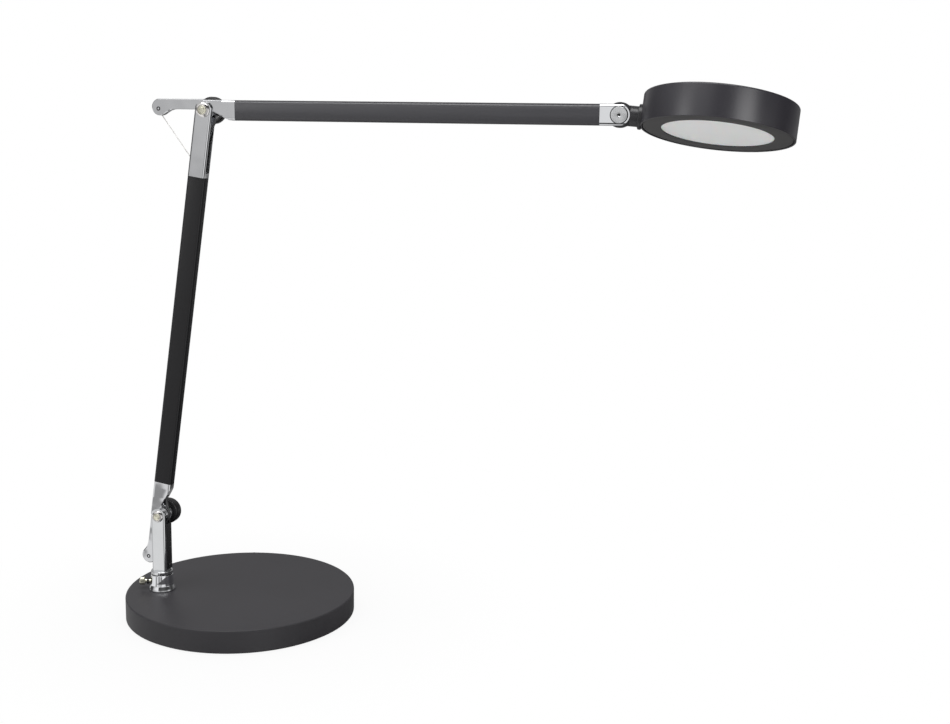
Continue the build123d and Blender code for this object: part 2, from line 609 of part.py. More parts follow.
def pivot_spacer(far_face):
    """Chrome boss between the far cheek and the knob."""
    spacer = bar_y(SPACER_RADIUS, far_face, far_face + SPACER_LENGTH)
    spacer = fillet(spacer.edges().group_by(Axis.Y)[-1], 0.8)
    return spacer - bar_y(BOLT_RADIUS + RUNNING, far_face, far_face + SPACER_LENGTH)


def knob(far_face):
    """Round knob with a softly rounded rim, a dished outer face and a blind bore."""
    start = far_face + SPACER_LENGTH + FACE_GAP
    end = start + KNOB_THICKNESS
    body = fillet(bar_y(KNOB_RADIUS, start, end).edges(), KNOB_EDGE)
    dish_radius = (KNOB_RADIUS - KNOB_EDGE) * 0.8
    body -= turned_y([(0, end), (dish_radius, end), (0, end - KNOB_DISH)])
    return body - bar_y(BOLT_RADIUS + RUNNING, start, start + KNOB_BORE_DEPTH)


def joint_washers():
    """Two thin friction washers, one on each side of a casting's hub."""
    half = BLADE_THICKNESS / 2
    pair = []
    for start in (-half - WASHER_THICKNESS, half):
        disc = bar_y(WASHER_RADIUS, start, start + WASHER_THICKNESS)
        pair.append(disc - bar_y(BOLT_RADIUS + RUNNING, start, start + WASHER_THICKNESS))
    return Compound(children=pair)


# ---------------------------------------------------------------- castings
def tail_outline(boss, bulge, edge):
    """Flat outline of a casting's tail in its (X, Z) plane; bulge is -1 below or +1 above."""
    straight = boss[1] - bulge * BOSS_END_RADIUS
    angle = radians(BOSS_TANGENT)
    flare = (boss[0] + BOSS_END_RADIUS * cos(angle), boss[1] + bulge * BOSS_END_RADIUS * sin(angle))
    corner = (flare[0] + abs(flare[1] - edge) * sin(angle) / cos(angle), edge)
    outline = Polyline((0, straight), (boss[0], straight), boss, flare, corner, (0, edge), close=True)
    shape = make_face(outline)
    bend = shape.vertices().sort_by_distance((corner[0], corner[1], 0))[0]
    shape = fillet(bend, TAIL_BLEND)
    return shape + Pos(*boss) * Circle(BOSS_END_RADIUS)


def head_outline(cut, tube_start):
    """Flat outline of a casting from its pivot to the tube, with the diagonal cut."""
    half = TUBE_WIDTH / 2
    return make_face(Polyline((0, half), (tube_start, half), (tube_start, -half), (cut[1] + 4, -half),
                              (cut[1], -half + CUT_LIP), (cut[0], CUT_HEIGHT), (0, CUT_HEIGHT), close=True))


def casting(boss, bulge, edge, cut, tube_start, tail_pin, groove):
    """Lever casting: thin tail and hub, thick head flush with the tube, spigot inside the tube."""
    flat = tail_outline(boss, bulge, edge) + Circle(HUB_RADIUS)
    thin_head = head_outline(cut, tube_start) & Circle(STEP_RADIUS + 2)
    blade = extrude(Plane.XZ * (flat + thin_head), amount=BLADE_THICKNESS / 2, both=True)
    faces_y = blade.edges().group_by(Axis.Y)
    blade = chamfer(faces_y[0] + faces_y[-1], BLADE_EDGE)
    head = flat_bar(0, tube_start, TUBE_WIDTH, TUBE_DEPTH, TUBE_CORNER)
    head = head & extrude(Plane.XZ * head_outline(cut, tube_start), amount=TUBE_DEPTH, both=True)
    head -= bar_y(STEP_RADIUS, -TUBE_DEPTH, TUBE_DEPTH)
    end = tube_start + TUBE_INSERT
    spigot = flat_bar(tube_start, end, TUBE_INNER_WIDTH - SNUG, TUBE_INNER_DEPTH - SNUG,
                      TUBE_INNER_CORNER - SNUG / 2)
    whole = blade + head + spigot
    half_slot = WIRE_SLOT / 2
    whole -= block((tail_pin[0], -half_slot, groove[0]), (end, half_slot, groove[1]))
    tail_end = boss[0] - 2 * BOSS_END_RADIUS
    groove_end = tail_pin[0] + BOSS_END_RADIUS
    whole -= block((tail_end, -half_slot, -TUBE_WIDTH), (groove_end, half_slot, groove[1]))
    whole -= bar_y(TAIL_PIN_RADIUS + 2 * WIRE_RADIUS + 2 * FACE_GAP, -half_slot, half_slot, *tail_pin)
    whole -= bar_x(LEAD_HOLE_RADIUS, cut[0], end, 0, LEAD_OFFSET)
    whole -= bar_y(BOLT_RADIUS + RUNNING, -TUBE_DEPTH, TUBE_DEPTH)
    whole -= bar_y(TAIL_PIN_RADIUS, -BLADE_THICKNESS, BLADE_THICKNESS, *tail_pin)
    return whole


def tail_pin_piece(place):
    """Pin across the tail's boss, a little below the casting's faces."""
    half = BLADE_THICKNESS / 2 - FACE_GAP
    return bar_y(TAIL_PIN_RADIUS, -half, half, *place)


def arm_tube(start, end):
    """Flat rounded tube."""
    outer = flat_bar(start, end, TUBE_WIDTH, TUBE_DEPTH, TUBE_CORNER)
    holes = flat_bar(start, end, TUBE_INNER_WIDTH, TUBE_INNER_DEPTH, TUBE_INNER_CORNER)
    return outer - holes - spring_pin()


def spring_pin():
    """Cross pin from the tube's far side, blind in its near wall, that holds the spring's fixed end."""
    half = TUBE_DEPTH / 2
    near_end = SPRING_PIN_SKIN - half
    return bar_y(SPRING_PIN_RADIUS, near_end, half, SPRING_START + SPRING_LENGTH, SPRING_OFFSET)


def wire_round_pin(tail_pin, anchor):
    """Points where the pull wire meets and leaves the tail pin."""
    reach = TAIL_PIN_RADIUS + WIRE_RADIUS + WIRE_PLAY
    arrives = tangent_point(tail_pin, reach, (SPRING_START, SPRING_OFFSET), 1)
    leaves = tangent_point(tail_pin, reach, anchor, -1)
    return arrives, leaves


def balance_spring(tail_pin, anchor):
    """Tension spring as a plain sleeve with a hook, and its pull wire round the tail pin."""
    arrives, leaves = wire_round_pin(tail_pin, anchor)
    middle_angle = (atan2(arrives[1] - tail_pin[1], arrives[0] - tail_pin[0])
                    + atan2(leaves[1] - tail_pin[1], leaves[0] - tail_pin[0]) % (2 * pi)) / 2
    reach = TAIL_PIN_RADIUS + WIRE_RADIUS + WIRE_PLAY
    middle = (tail_pin[0] + reach * cos(middle_angle), tail_pin[1] + reach * sin(middle_angle))
    straight = Line((SPRING_START, SPRING_OFFSET), arrives)
    bend = ThreePointArc(arrives, middle, leaves)
    path = Plane.XZ * Curve([straight, bend])
    start = Vector(SPRING_START, 0, SPRING_OFFSET)
    heading = Vector(arrives[0] - SPRING_START, 0, arrives[1] - SPRING_OFFSET)
    wire = sweep(Plane(origin=start, z_dir=heading) * Circle(WIRE_RADIUS), path=path.wires()[0])
    end = SPRING_START + SPRING_LENGTH
    bore = SPRING_RADIUS - SPRING_WIRE
    coil = bar_x(SPRING_RADIUS, SPRING_START, end - 4, 0, SPRING_OFFSET)
    coil -= bar_x(bore, SPRING_START + 3, end, 0, SPRING_OFFSET)
    hook_half = bore + SPRING_WIRE / 2
    hook = block((end - 8, -SPRING_WIRE, SPRING_OFFSET - hook_half),
                 (end + 3, SPRING_WIRE, SPRING_OFFSET + hook_half))
    hook -= bar_y(SPRING_PIN_RADIUS + RUNNING, -SPRING_RADIUS, SPRING_RADIUS, end, SPRING_OFFSET)
    return coil + hook + wire


def balance_wire(tail_pin, anchor):
    """Free stretch of the wire, from the tail pin to an eye on the anchor pin."""
    leaves = wire_round_pin(tail_pin, anchor)[1]
    start = Vector(leaves[0], 0, leaves[1])
    heading = Vector(anchor[0] - leaves[0], 0, anchor[1] - leaves[1])
    reach = heading.length - ANCHOR_RADIUS - RUNNING - 0.4
    wire = extrude(Plane(origin=start, z_dir=heading) * Circle(WIRE_RADIUS), amount=reach)
    eye = bar_y(EYE_RADIUS, -EYE_WIDTH / 2, EYE_WIDTH / 2, *anchor)
    eye -= bar_y(ANCHOR_RADIUS + RUNNING, -EYE_WIDTH / 2, EYE_WIDTH / 2, *anchor)
    return wire + eye


def in_frame(frame, point):
    """(X, Z) of a world point seen in an arm's frame."""
    local = frame.inverse() * Pos(*point)
    return (local.position.X, local.position.Z)


def lower_anchor_local():
    """The post's anchor pin in the lower arm's frame."""
    return in_frame(LOWER_FRAME, (SWIVEL_X + LOWER_ANCHOR[0], SWIVEL_Y, PIVOT_HEIGHT + LOWER_ANCHOR[1]))


def upper_anchor_local():
    """The fork's anchor pin in the upper arm's frame."""
    place = (ELBOW_FRAME * Pos(-ELBOW_ANCHOR_DEPTH, 0, 0)).position
    return in_frame(UPPER_FRAME, (place.X, place.Y, place.Z))


# ---------------------------------------------------------------- elbow fork
def elbow_fork():
    """Chrome fork on top of the lower tube, in the elbow's frame."""
    base = -LOWER_TUBE_END
    ear = FORK_WIDTH / 2
    section = flat_bar(base, ear, FORK_WIDTH, FORK_DEPTH, FORK_CORNER)
    side = (Pos((base - FORK_EAR_DROP) / 2, 0) * Rectangle(-base - FORK_EAR_DROP, FORK_WIDTH)
            + Pos(-FORK_EAR_DROP, 0) * Circle(ear))
    cheeks = section & extrude(Plane.XZ * side, amount=FORK_DEPTH, both=True)
    cheeks -= block((-FORK_FLOOR, -SLOT_WIDTH / 2, -FORK_WIDTH), (FORK_WIDTH, SLOT_WIDTH / 2, FORK_WIDTH))
    spigot = flat_bar(base - TUBE_INSERT, base, TUBE_INNER_WIDTH - SNUG, TUBE_INNER_DEPTH - SNUG,
                      TUBE_INNER_CORNER - SNUG / 2)
    whole = cheeks + spigot
    whole -= bar_x(LEAD_HOLE_RADIUS, base - TUBE_INSERT, -FORK_FLOOR, 0, LEAD_OFFSET)
    whole -= bar_y(BOLT_RADIUS + RUNNING, -FORK_DEPTH, FORK_DEPTH)
    whole -= bar_y(ANCHOR_RADIUS, -FORK_DEPTH / 2 + 0.6, FORK_DEPTH / 2 - 0.6, -ELBOW_ANCHOR_DEPTH, 0)
    return whole


def elbow_anchor_pin():
    """Pin across the fork for the upper balance wire."""
    return bar_y(ANCHOR_RADIUS, -FORK_DEPTH / 2 + 0.6, FORK_DEPTH / 2 - 0.6, -ELBOW_ANCHOR_DEPTH, 0)


# ---------------------------------------------------------------- leads of the arms
def lower_tube_lead():
    """Straight lead through the lower tube and the fork's foot."""
    return bar_x(LEAD_RADIUS, LOWER_LOOP_START, LOWER_LENGTH - ELBOW_LOOP_END, 0, LEAD_OFFSET)


def lower_lead_loop():
    """Lead across the lower joint, from the post's slot to the casting's cut."""
    high = (LOWER_FRAME * Pos(LOWER_LOOP_START, 0, LEAD_OFFSET)).position
    run = (LOWER_FRAME * Pos(LOWER_LOOP_START - 9, 0, LEAD_OFFSET)).position
    low = PIVOT_HEIGHT + POST_LOOP_END
    slot_x = SWIVEL_X + SLOT_LEAD_X
    clear_x = SWIVEL_X + HUB_RADIUS + LEAD_RADIUS + 3 * FACE_GAP
    points = [(slot_x, SWIVEL_Y, low), (slot_x, SWIVEL_Y, low + 8), (clear_x, SWIVEL_Y, PIVOT_HEIGHT),
              run, high]
    return lead_along(points, LOWER_BENDS)


def elbow_lead_loop():
    """Lead across the elbow, from the fork's slot to the casting's cut."""
    low = (ELBOW_FRAME * Pos(-ELBOW_LOOP_END, 0, LEAD_OFFSET)).position
    rise = (ELBOW_FRAME * Pos(-ELBOW_RISE, 0, LEAD_OFFSET)).position
    bow = (ELBOW_FRAME * Pos(ELBOW_BOW[0], 0, ELBOW_BOW[1])).position
    run = (UPPER_FRAME * Pos(UPPER_LOOP_START - 7, 0, LEAD_OFFSET)).position
    high = (UPPER_FRAME * Pos(UPPER_LOOP_START, 0, LEAD_OFFSET)).position
    return lead_along([low, rise, bow, run, high], ELBOW_BENDS)


def upper_tube_lead():
    """Lead through the upper tube into the head fitting's ear."""
    tube_end = UPPER_LENGTH - UPPER_TUBE_END
    turn_x = UPPER_LENGTH - JOINT_LEAD_RADIUS
    points = [(UPPER_LOOP_START, 0, LEAD_OFFSET), (tube_end - 3 * TUBE_INSERT, 0, LEAD_OFFSET),
              (tube_end - 1.5 * TUBE_INSERT, EAR_LEAD_Y, 0), (turn_x, EAR_LEAD_Y, 0),
              (turn_x, JOINT_LEAD_Y - JOINT_LEAD_STEP, 0)]
    return lead_along(points, TUBE_BENDS)


# ---------------------------------------------------------------- head joint
def ear_lead_hole():
    """Hole for the lead through the head fitting, in the head joint's frame."""
    hole = bar_x(LEAD_HOLE_RADIUS, -UPPER_TUBE_END - TUBE_INSERT, -JOINT_LEAD_RADIUS, EAR_LEAD_Y, 0)
    mouth = bar_y(LEAD_HOLE_RADIUS, EAR_LEAD_Y, TUBE_DEPTH, -JOINT_LEAD_RADIUS, 0)
    return hole + mouth + Pos(-JOINT_LEAD_RADIUS, EAR_LEAD_Y, 0) * Sphere(LEAD_HOLE_RADIUS)


def head_fitting():
    """Chrome fitting at the upper tube's end, with one ear on the near side."""
    body = flat_bar(-UPPER_TUBE_END, EAR_RADIUS, TUBE_WIDTH, TUBE_DEPTH, TUBE_CORNER)
    side = Pos(-UPPER_TUBE_END / 2, 0) * Rectangle(UPPER_TUBE_END, TUBE_WIDTH) + Circle(EAR_RADIUS)
    body = body & extrude(Plane.XZ * side, amount=TUBE_DEPTH, both=True)
    body -= bar_y(BARREL_RADIUS + FACE_GAP, 0, TUBE_DEPTH)
    spigot = flat_bar(-UPPER_TUBE_END - TUBE_INSERT, -UPPER_TUBE_END, TUBE_INNER_WIDTH - SNUG,
                      TUBE_INNER_DEPTH - SNUG, TUBE_INNER_CORNER - SNUG / 2)
    body += spigot
    body -= bar_y(BOLT_RADIUS + RUNNING, -TUBE_DEPTH, TUBE_DEPTH)
    return body - ear_lead_hole()


def head_pivot_screw():
    """Screw with a wide turned disc head on the near side."""
    face = -TUBE_DEPTH / 2
    end = FACE_GAP + BARREL_LENGTH + PIVOT_NUT_HEIGHT + RUNNING
    disc = bar_y(DISC_RADIUS, face - DISC_HEIGHT, face)
    disc = fillet(disc.edges().group_by(Axis.Y)[0], 0.5)
    top = face - DISC_HEIGHT
    disc -= turned_y([(0, top), (DISC_DIMPLE, top), (0, top + DISC_DIMPLE_DEPTH)])
    return disc + bar_y(BOLT_RADIUS, face, end)


def head_pivot_nut():
    """Hexagon nut behind the barrel."""
    start = FACE_GAP + BARREL_LENGTH + RUNNING
    nut = extrude(Plane(origin=(0, start, 0), z_dir=(0, 1, 0)) * RegularPolygon(PIVOT_NUT_RADIUS, 6),
                  amount=PIVOT_NUT_HEIGHT)
    return nut - bar_y(BOLT_RADIUS + RUNNING, start, start + PIVOT_NUT_HEIGHT)


def neck_lead_points():
    """Route of the lead from the barrel's cavity through the neck."""
    return [(NECK_LEAD_START, JOINT_LEAD_Y, 0), (NECK_LEAD_START + 2, JOINT_LEAD_Y, 0), (NECK_END + 2, 0, 0),
            (HEAD_OFFSET - BOARD_RADIUS - 2, 0, 0)]


def knuckle():
    """Black knuckle: hollow barrel, neck and spindle, in the knuckle's frame."""
    far = FACE_GAP + BARREL_LENGTH
    barrel = bar_y(BARREL_RADIUS, FACE_GAP, far)
    barrel = fillet(barrel.edges().group_by(Axis.Y)[-1], 1.2)
    neck = bar_x(NECK_RADIUS, 0, NECK_END)
    neck -= block((0, -NECK_RADIUS, -NECK_RADIUS), (TUBE_WIDTH / 2 + FACE_GAP, FACE_GAP, NECK_RADIUS))
    neck = neck & block((0, -NECK_RADIUS, -NECK_RADIUS), (NECK_END, far, NECK_RADIUS))
    whole = barrel + neck + bar_x(SPINDLE_RADIUS, NECK_END, SPINDLE_END)
    cavity = bar_y(CAVITY_OUTER, FACE_GAP, FACE_GAP + CAVITY_DEPTH)
    cavity -= bar_y(CAVITY_INNER, FACE_GAP, FACE_GAP + CAVITY_DEPTH)
    whole -= cavity
    whole -= bar_y(BOLT_RADIUS + RUNNING, 0, far)
    groove = bar_x(SPINDLE_RADIUS + 1, CLIP_START, CLIP_START + CLIP_THICKNESS)
    whole -= groove - bar_x(SPINDLE_RADIUS - CLIP_GROOVE, CLIP_START, CLIP_START + CLIP_THICKNESS)
    whole -= bar_x(LEAD_HOLE_RADIUS, CAVITY_OUTER - 1, NECK_LEAD_START, JOINT_LEAD_Y, 0)
    whole -= Pos(CAVITY_OUTER - LEAD_PLAY, JOINT_LEAD_Y, 0) * Sphere(LEAD_MOUTH_RADIUS)
    return whole - lead_along(neck_lead_points(), NECK_BENDS, LEAD_HOLE_RADIUS)


def joint_lead():
    """Lead inside the barrel's cavity, from the ear's mouth round to the neck."""
    ring = JOINT_LEAD_RADIUS
    y = JOINT_LEAD_Y
    along = cos(radians(JOINT_LEAD_ANGLE))
    up = sin(radians(JOINT_LEAD_ANGLE))
    first = (-ring * along, y, ring * up)
    last = (ring * along, y, ring * up)
    rise = Spline([(-ring, y - JOINT_LEAD_STEP, 0), first], tangents=[(0, 1, 0), (up, 0, along)])
    arc = ThreePointArc(first, (0, y, ring), last)
    fall = Spline([last, (NECK_LEAD_START, y, 0)], tangents=[(up, 0, -along), (1, 0, 0)])
    path = Wire([rise, arc, fall])
    return sweep(Plane(origin=path @ 0, z_dir=path % 0) * Circle(LEAD_RADIUS), path=path)


def knuckle_lead():
    """Lead through the neck into the head."""
    return lead_along(neck_lead_points(), NECK_BENDS)


def neck_clip():
    """Retaining clip on the spindle, inside the head."""
    clip = bar_x(CLIP_RADIUS, CLIP_START, CLIP_START + CLIP_THICKNESS)
    return clip - bar_x(SPINDLE_RADIUS - CLIP_GROOVE, CLIP_START, CLIP_START + CLIP_THICKNESS)


# ---------------------------------------------------------------- head pieces, in the head's frame
def disc_at(radius, bottom, top):
    """Disc about the head's own axis."""
    return bar_z(radius, bottom, top, HEAD_OFFSET, 0)


def head_post_places():
    """Places of the head's inner posts."""
    return [(HEAD_OFFSET + x, y) for x, y in ring_places(POST_COUNT, HEAD_POST_CIRCLE)]


def button_x():
    """Place of the button along the head."""
    return HEAD_OFFSET - BUTTON_OFFSET


def head_shell():
    """Round housing, open below, with inner posts and a hub for the neck."""
    shell = disc_at(HEAD_RADIUS, HEAD_BOTTOM, HEAD_TOP)
    shell = fillet(shell.edges().group_by(Axis.Z)[-1], HEAD_EDGE)
    inner = HEAD_RADIUS - SHELL_WALL
    shell -= disc_at(inner, HEAD_BOTTOM, ROOF)
    hub_end = CLIP_START - FACE_GAP
    hub = bar_x(HUB_BOSS_RADIUS, HEAD_OFFSET - inner - 1, hub_end)
    shell += hub & disc_at(inner + SHELL_WALL / 2, HEAD_BOTTOM, ROOF)
    for x, y in head_post_places():
        shell += bar_z(HEAD_POST_RADIUS, PLATE_TOP, ROOF, x, y)
    for x, y in head_post_places():
        shell -= bar_z(HEAD_SCREW_RADIUS + RUNNING, PLATE_TOP, PLATE_TOP + HEAD_SCREW_BITE + SNUG, x, y)
    shell -= bar_x(SPINDLE_RADIUS + RUNNING, 0, hub_end + 1)
    return shell - bar_z(BUTTON_RADIUS + BUTTON_PLAY, ROOF, HEAD_TOP + 1, button_x(), 0)


def head_collar():
    """Black collar between the neck and the head, fitted to the head's round wall."""
    start = NECK_END + FACE_GAP
    reach = HEAD_OFFSET - (HEAD_RADIUS ** 2 - COLLAR_RADIUS ** 2) ** 0.5
    collar = bar_x(COLLAR_RADIUS, start, reach + 1)
    collar = fillet(collar.edges().group_by(Axis.X)[0], COLLAR_EDGE)
    collar -= disc_at(HEAD_RADIUS, -HEAD_HEIGHT, HEAD_HEIGHT)
    return collar - bar_x(SPINDLE_RADIUS + RUNNING, 0, HEAD_OFFSET)


def bezel():
    """Dark ring round the diffuser, with a lip below it and a notch above the neck's hub."""
    bottom = HEAD_BOTTOM + BEZEL_RECESS
    ring = disc_at(HEAD_RADIUS - SHELL_WALL - SNUG, bottom, bottom + BEZEL_THICKNESS)
    ring -= disc_at(WINDOW_RADIUS, bottom, bottom + BEZEL_THICKNESS)
    seat = HEAD_BOTTOM + DIFFUSER_RECESS
    ring -= disc_at(WINDOW_RADIUS + DIFFUSER_LAP + SNUG, seat, bottom + BEZEL_THICKNESS)
    return ring - bar_x(HUB_BOSS_RADIUS + FACE_GAP, 0, SPINDLE_END + 1)


def diffuser():
    """Opal disc that rests on the bezel's lip."""
    bottom = HEAD_BOTTOM + DIFFUSER_RECESS
    return disc_at(WINDOW_RADIUS + DIFFUSER_LAP, bottom, bottom + DIFFUSER_THICKNESS)


def heat_spreader():
    """Aluminium plate under the housing's posts."""
    plate = disc_at(PLATE_RADIUS, PLATE_BOTTOM, PLATE_TOP)
    for x, y in head_post_places():
        plate -= bar_z(HEAD_SCREW_RADIUS + SNUG, PLATE_BOTTOM, PLATE_TOP, x, y)
    return plate


def led_board():
    """Round board below the plate."""
    board = disc_at(BOARD_RADIUS, BOARD_BOTTOM, PLATE_BOTTOM)
    for x, y in head_post_places():
        board -= bar_z(HEAD_SCREW_RADIUS + SNUG, BOARD_BOTTOM, PLATE_BOTTOM, x, y)
    return board


def led_chips():
    """Light emitting diodes in two rings under the board."""
    chips = []
    for radius, count in zip(CHIP_RING_RADII, CHIP_RING_COUNTS):
        for x, y in ring_places(count, radius, 180 / count):
            place = Pos(HEAD_OFFSET + x, y, BOARD_BOTTOM - CHIP_HEIGHT / 2)
            chips.append(place * Box(CHIP_SIZE, CHIP_SIZE, CHIP_HEIGHT))
    return Compound(children=chips)


def head_screws():
    """Screws that hold the board and the plate to the housing."""
    screws = []
    for x, y in head_post_places():
        head = bar_z(HEAD_SCREW_HEAD_RADIUS, BOARD_BOTTOM - HEAD_SCREW_HEAD, BOARD_BOTTOM, x, y)
        screws.append(head + bar_z(HEAD_SCREW_RADIUS, BOARD_BOTTOM, PLATE_TOP + HEAD_SCREW_BITE, x, y))
    return Compound(children=screws)


def switch_module():
    """Small switch on the plate, under the button."""
    place = Pos(button_x() + 1, 0, PLATE_TOP + SWITCH_HEIGHT / 2)
    return place * Box(SWITCH_SIZE, SWITCH_SIZE, SWITCH_HEIGHT)


def dimmer_button():
    """Push button through the housing's roof, kept in by a flange."""
    x = button_x()
    switch_top = PLATE_TOP + SWITCH_HEIGHT
    flange_top = ROOF - FACE_GAP
    cap = bar_z(BUTTON_RADIUS, flange_top, HEAD_TOP + BUTTON_PROUD, x, 0)
    cap = fillet(cap.edges().group_by(Axis.Z)[-1], 0.6)
    flange = bar_z(BUTTON_FLANGE_RADIUS, flange_top - BUTTON_FLANGE, flange_top, x, 0)
    return cap + flange + bar_z(BUTTON_STEM_RADIUS, switch_top + BUTTON_TRAVEL + FACE_GAP, flange_top, x, 0)


# ---------------------------------------------------------------- assembly
def lower_arm_pieces():
    """Everything on the lower arm but the elbow, in the lower arm's frame."""
    anchor = lower_anchor_local()
    return {
        "lower_casting": casting(LOWER_BOSS, 1, LOWER_TAIL_EDGE, LOWER_CUT, LOWER_TUBE_START,
                                 LOWER_TAIL_PIN, LOWER_GROOVE),
        "lower_washers": joint_washers(),
        "lower_tail_pin": tail_pin_piece(LOWER_TAIL_PIN),
        "lower_spring": balance_spring(LOWER_TAIL_PIN, anchor),
        "lower_spring_pin": spring_pin(),
        "lower_tube": arm_tube(LOWER_TUBE_START, LOWER_LENGTH - LOWER_TUBE_END),
        "lower_tube_lead": lower_tube_lead(),
        "lower_balance_wire": balance_wire(LOWER_TAIL_PIN, anchor),
    }


def elbow_pieces():
    """The fork and what it holds, in the elbow's frame."""
    far = FORK_DEPTH / 2
    return {
        "elbow_fork": elbow_fork(),
        "elbow_anchor_pin": elbow_anchor_pin(),
        "elbow_pivot_bolt": pivot_bolt(far, far, ELBOW_CAP_RADIUS),
        "elbow_spacer": pivot_spacer(far),
        "elbow_knob": knob(far),
    }


def upper_arm_pieces():
    """Everything on the upper arm, in its frame."""
    anchor = upper_anchor_local()
    return {
        "upper_casting": casting(UPPER_BOSS, -1, UPPER_TAIL_EDGE, UPPER_CUT, UPPER_TUBE_START,
                                 UPPER_TAIL_PIN, UPPER_GROOVE),
        "elbow_washers": joint_washers(),
        "upper_tail_pin": tail_pin_piece(UPPER_TAIL_PIN),
        "upper_spring": balance_spring(UPPER_TAIL_PIN, anchor),
        "upper_spring_pin": spring_pin(),
        "upper_tube": arm_tube(UPPER_TUBE_START, UPPER_LENGTH - UPPER_TUBE_END),
        "upper_tube_lead": upper_tube_lead(),
        "upper_balance_wire": balance_wire(UPPER_TAIL_PIN, anchor),
    }


def post_hardware():
    """Bolt, spacer and knob of the lower joint, in the post's pivot frame."""
    far = POST_DEPTH / 2
    return {
        "lower_pivot_bolt": pivot_bolt(far, far, LOWER_CAP_RADIUS),
        "lower_spacer": pivot_spacer(far),
        "lower_knob": knob(far),
    }


def head_joint_pieces():
    """Fitting, screw and nut, in the frame of the upper arm's end."""
    return {
        "head_fitting": head_fitting(),
        "head_pivot_screw": head_pivot_screw(),
        "head_pivot_nut": head_pivot_nut(),
    }


def knuckle_pieces():
    """What tilts with the knuckle, in its frame."""
    return {
        "knuckle": knuckle(),
        "neck_clip": neck_clip(),
        "joint_lead": joint_lead(),
        "knuckle_lead": knuckle_lead(),
    }


def head_pieces():
    """What turns with the head, in its frame."""
    return {
        "head_shell": head_shell(),
        "head_collar": head_collar(),
        "bezel": bezel(),
        "diffuser": diffuser(),
        "heat_spreader": heat_spreader(),
        "led_board": led_board(),
        "led_chips": led_chips(),
        "head_screws": head_screws(),
        "switch_module": switch_module(),
        "dimmer_button": dimmer_button(),
    }


def placed_pieces():
    """Every node of the lamp in the row frame."""
    nodes = {
        "base_cover": base_cover(),
        "base_weight": base_weight(),
        "base_pad": base_pad(),
        "base_screws": base_screws(),
        "socket": socket(),
        "socket_nut": socket_nut(),
        "swivel_bush": swivel_bush(),
        "lead_gland": lead_gland(),
        "base_lead": base_lead(),
        "thumbscrew": thumbscrew(),
        "thumbscrew_collar": thumbscrew_collar(),
        "post": post(),
        "post_ring": post_ring(),
        "post_cover": post_cover(),
        "cover_screw": cover_screw(),
        "lower_anchor_pin": lower_anchor_pin(),
        "post_lead": post_lead(),
        "lower_lead_loop": lower_lead_loop(),
        "elbow_lead_loop": elbow_lead_loop(),
    }
    groups = (
        (PIVOT_FRAME, post_hardware()),
        (LOWER_FRAME, lower_arm_pieces()),
        (ELBOW_FRAME, elbow_pieces()),
        (UPPER_FRAME, upper_arm_pieces()),
        (HEAD_JOINT, head_joint_pieces()),
        (KNUCKLE_FRAME, knuckle_pieces()),
        (HEAD_FRAME, head_pieces()),
    )
    for frame, pieces in groups:
        for name, piece in pieces.items():
            nodes[name] = frame * piece
    return nodes


def main():
    """Write one STEP file for each node."""
    os.makedirs("parts", exist_ok=True)
    for name, piece in placed_pieces().items():
        export_step(piece, f"parts/{name}.step")


main()
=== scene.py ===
"""Balance desk lamp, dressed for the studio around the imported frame.

Every piece is in metres in the row's frame: the origin is the centre of the base's underside, +Z is up and
the arms reach towards +X in a plane of constant Y. Sizes below are written in millimetres, as the solids
are, and pass through mm() on their way into a mesh. The studio's own sizes are in metres.
"""
import logging
import math
from dataclasses import dataclass, field
from enum import Enum
from typing import Any

import bmesh
import bpy
from mathutils import Matrix, Vector


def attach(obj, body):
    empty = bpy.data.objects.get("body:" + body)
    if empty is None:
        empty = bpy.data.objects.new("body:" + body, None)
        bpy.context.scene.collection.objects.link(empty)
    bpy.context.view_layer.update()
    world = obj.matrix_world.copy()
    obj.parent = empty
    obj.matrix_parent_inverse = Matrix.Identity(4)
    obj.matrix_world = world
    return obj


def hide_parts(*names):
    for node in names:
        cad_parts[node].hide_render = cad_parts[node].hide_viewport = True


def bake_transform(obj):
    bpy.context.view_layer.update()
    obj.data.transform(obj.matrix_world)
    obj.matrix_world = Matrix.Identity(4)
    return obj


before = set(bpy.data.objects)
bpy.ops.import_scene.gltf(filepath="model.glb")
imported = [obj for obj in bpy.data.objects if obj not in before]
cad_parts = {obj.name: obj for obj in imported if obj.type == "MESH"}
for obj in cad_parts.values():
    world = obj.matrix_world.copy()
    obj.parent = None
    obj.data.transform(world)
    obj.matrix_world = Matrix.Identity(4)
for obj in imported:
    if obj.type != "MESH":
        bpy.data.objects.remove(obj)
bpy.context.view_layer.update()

LOG = logging.getLogger("lamp")
Pair = tuple[float, float]
Triple = tuple[float, float, float]
Pairs = tuple[Pair, ...]
Profile = list[Pair]
Socket = bpy.types.NodeSocket
Feed = dict[str | int, Any]
# Finishes that the side lamps leave out.
SHADED = ("lower_casting", "upper_casting", "fork", "cheek", "mirror", "cap_ring", "nickel", "spun", "cover")
# In metres: a micrometre, how near vertices are one, the thinnest sliver that stays, and the finishes' lengths.
MICRON = 0.000001
TURNED_WELD = 0.0000001
NODE_WELD = 0.000002
NODE_SLIVER = 0.000001
CROWN_REACH = 0.01
SUBSURFACE_SCALE = 0.002
# The angle up to which faces are one, and the width in millimetres above which a bevel gets a third step.
FLAT_ANGLE = math.radians(0.6)
WIDE_BEVEL = 0.4
COAT_ROUGHNESS = 0.12
WAVE_SCALE = 42.0


def mm(value: float) -> float:
    """Turns millimetres into metres."""
    return value * 0.001


def spot(place: Matrix, along: float, up: float) -> Vector:
    """Gives the point at two lengths in millimetres along and up a frame."""
    return place @ Vector((mm(along), 0.0, mm(up)))


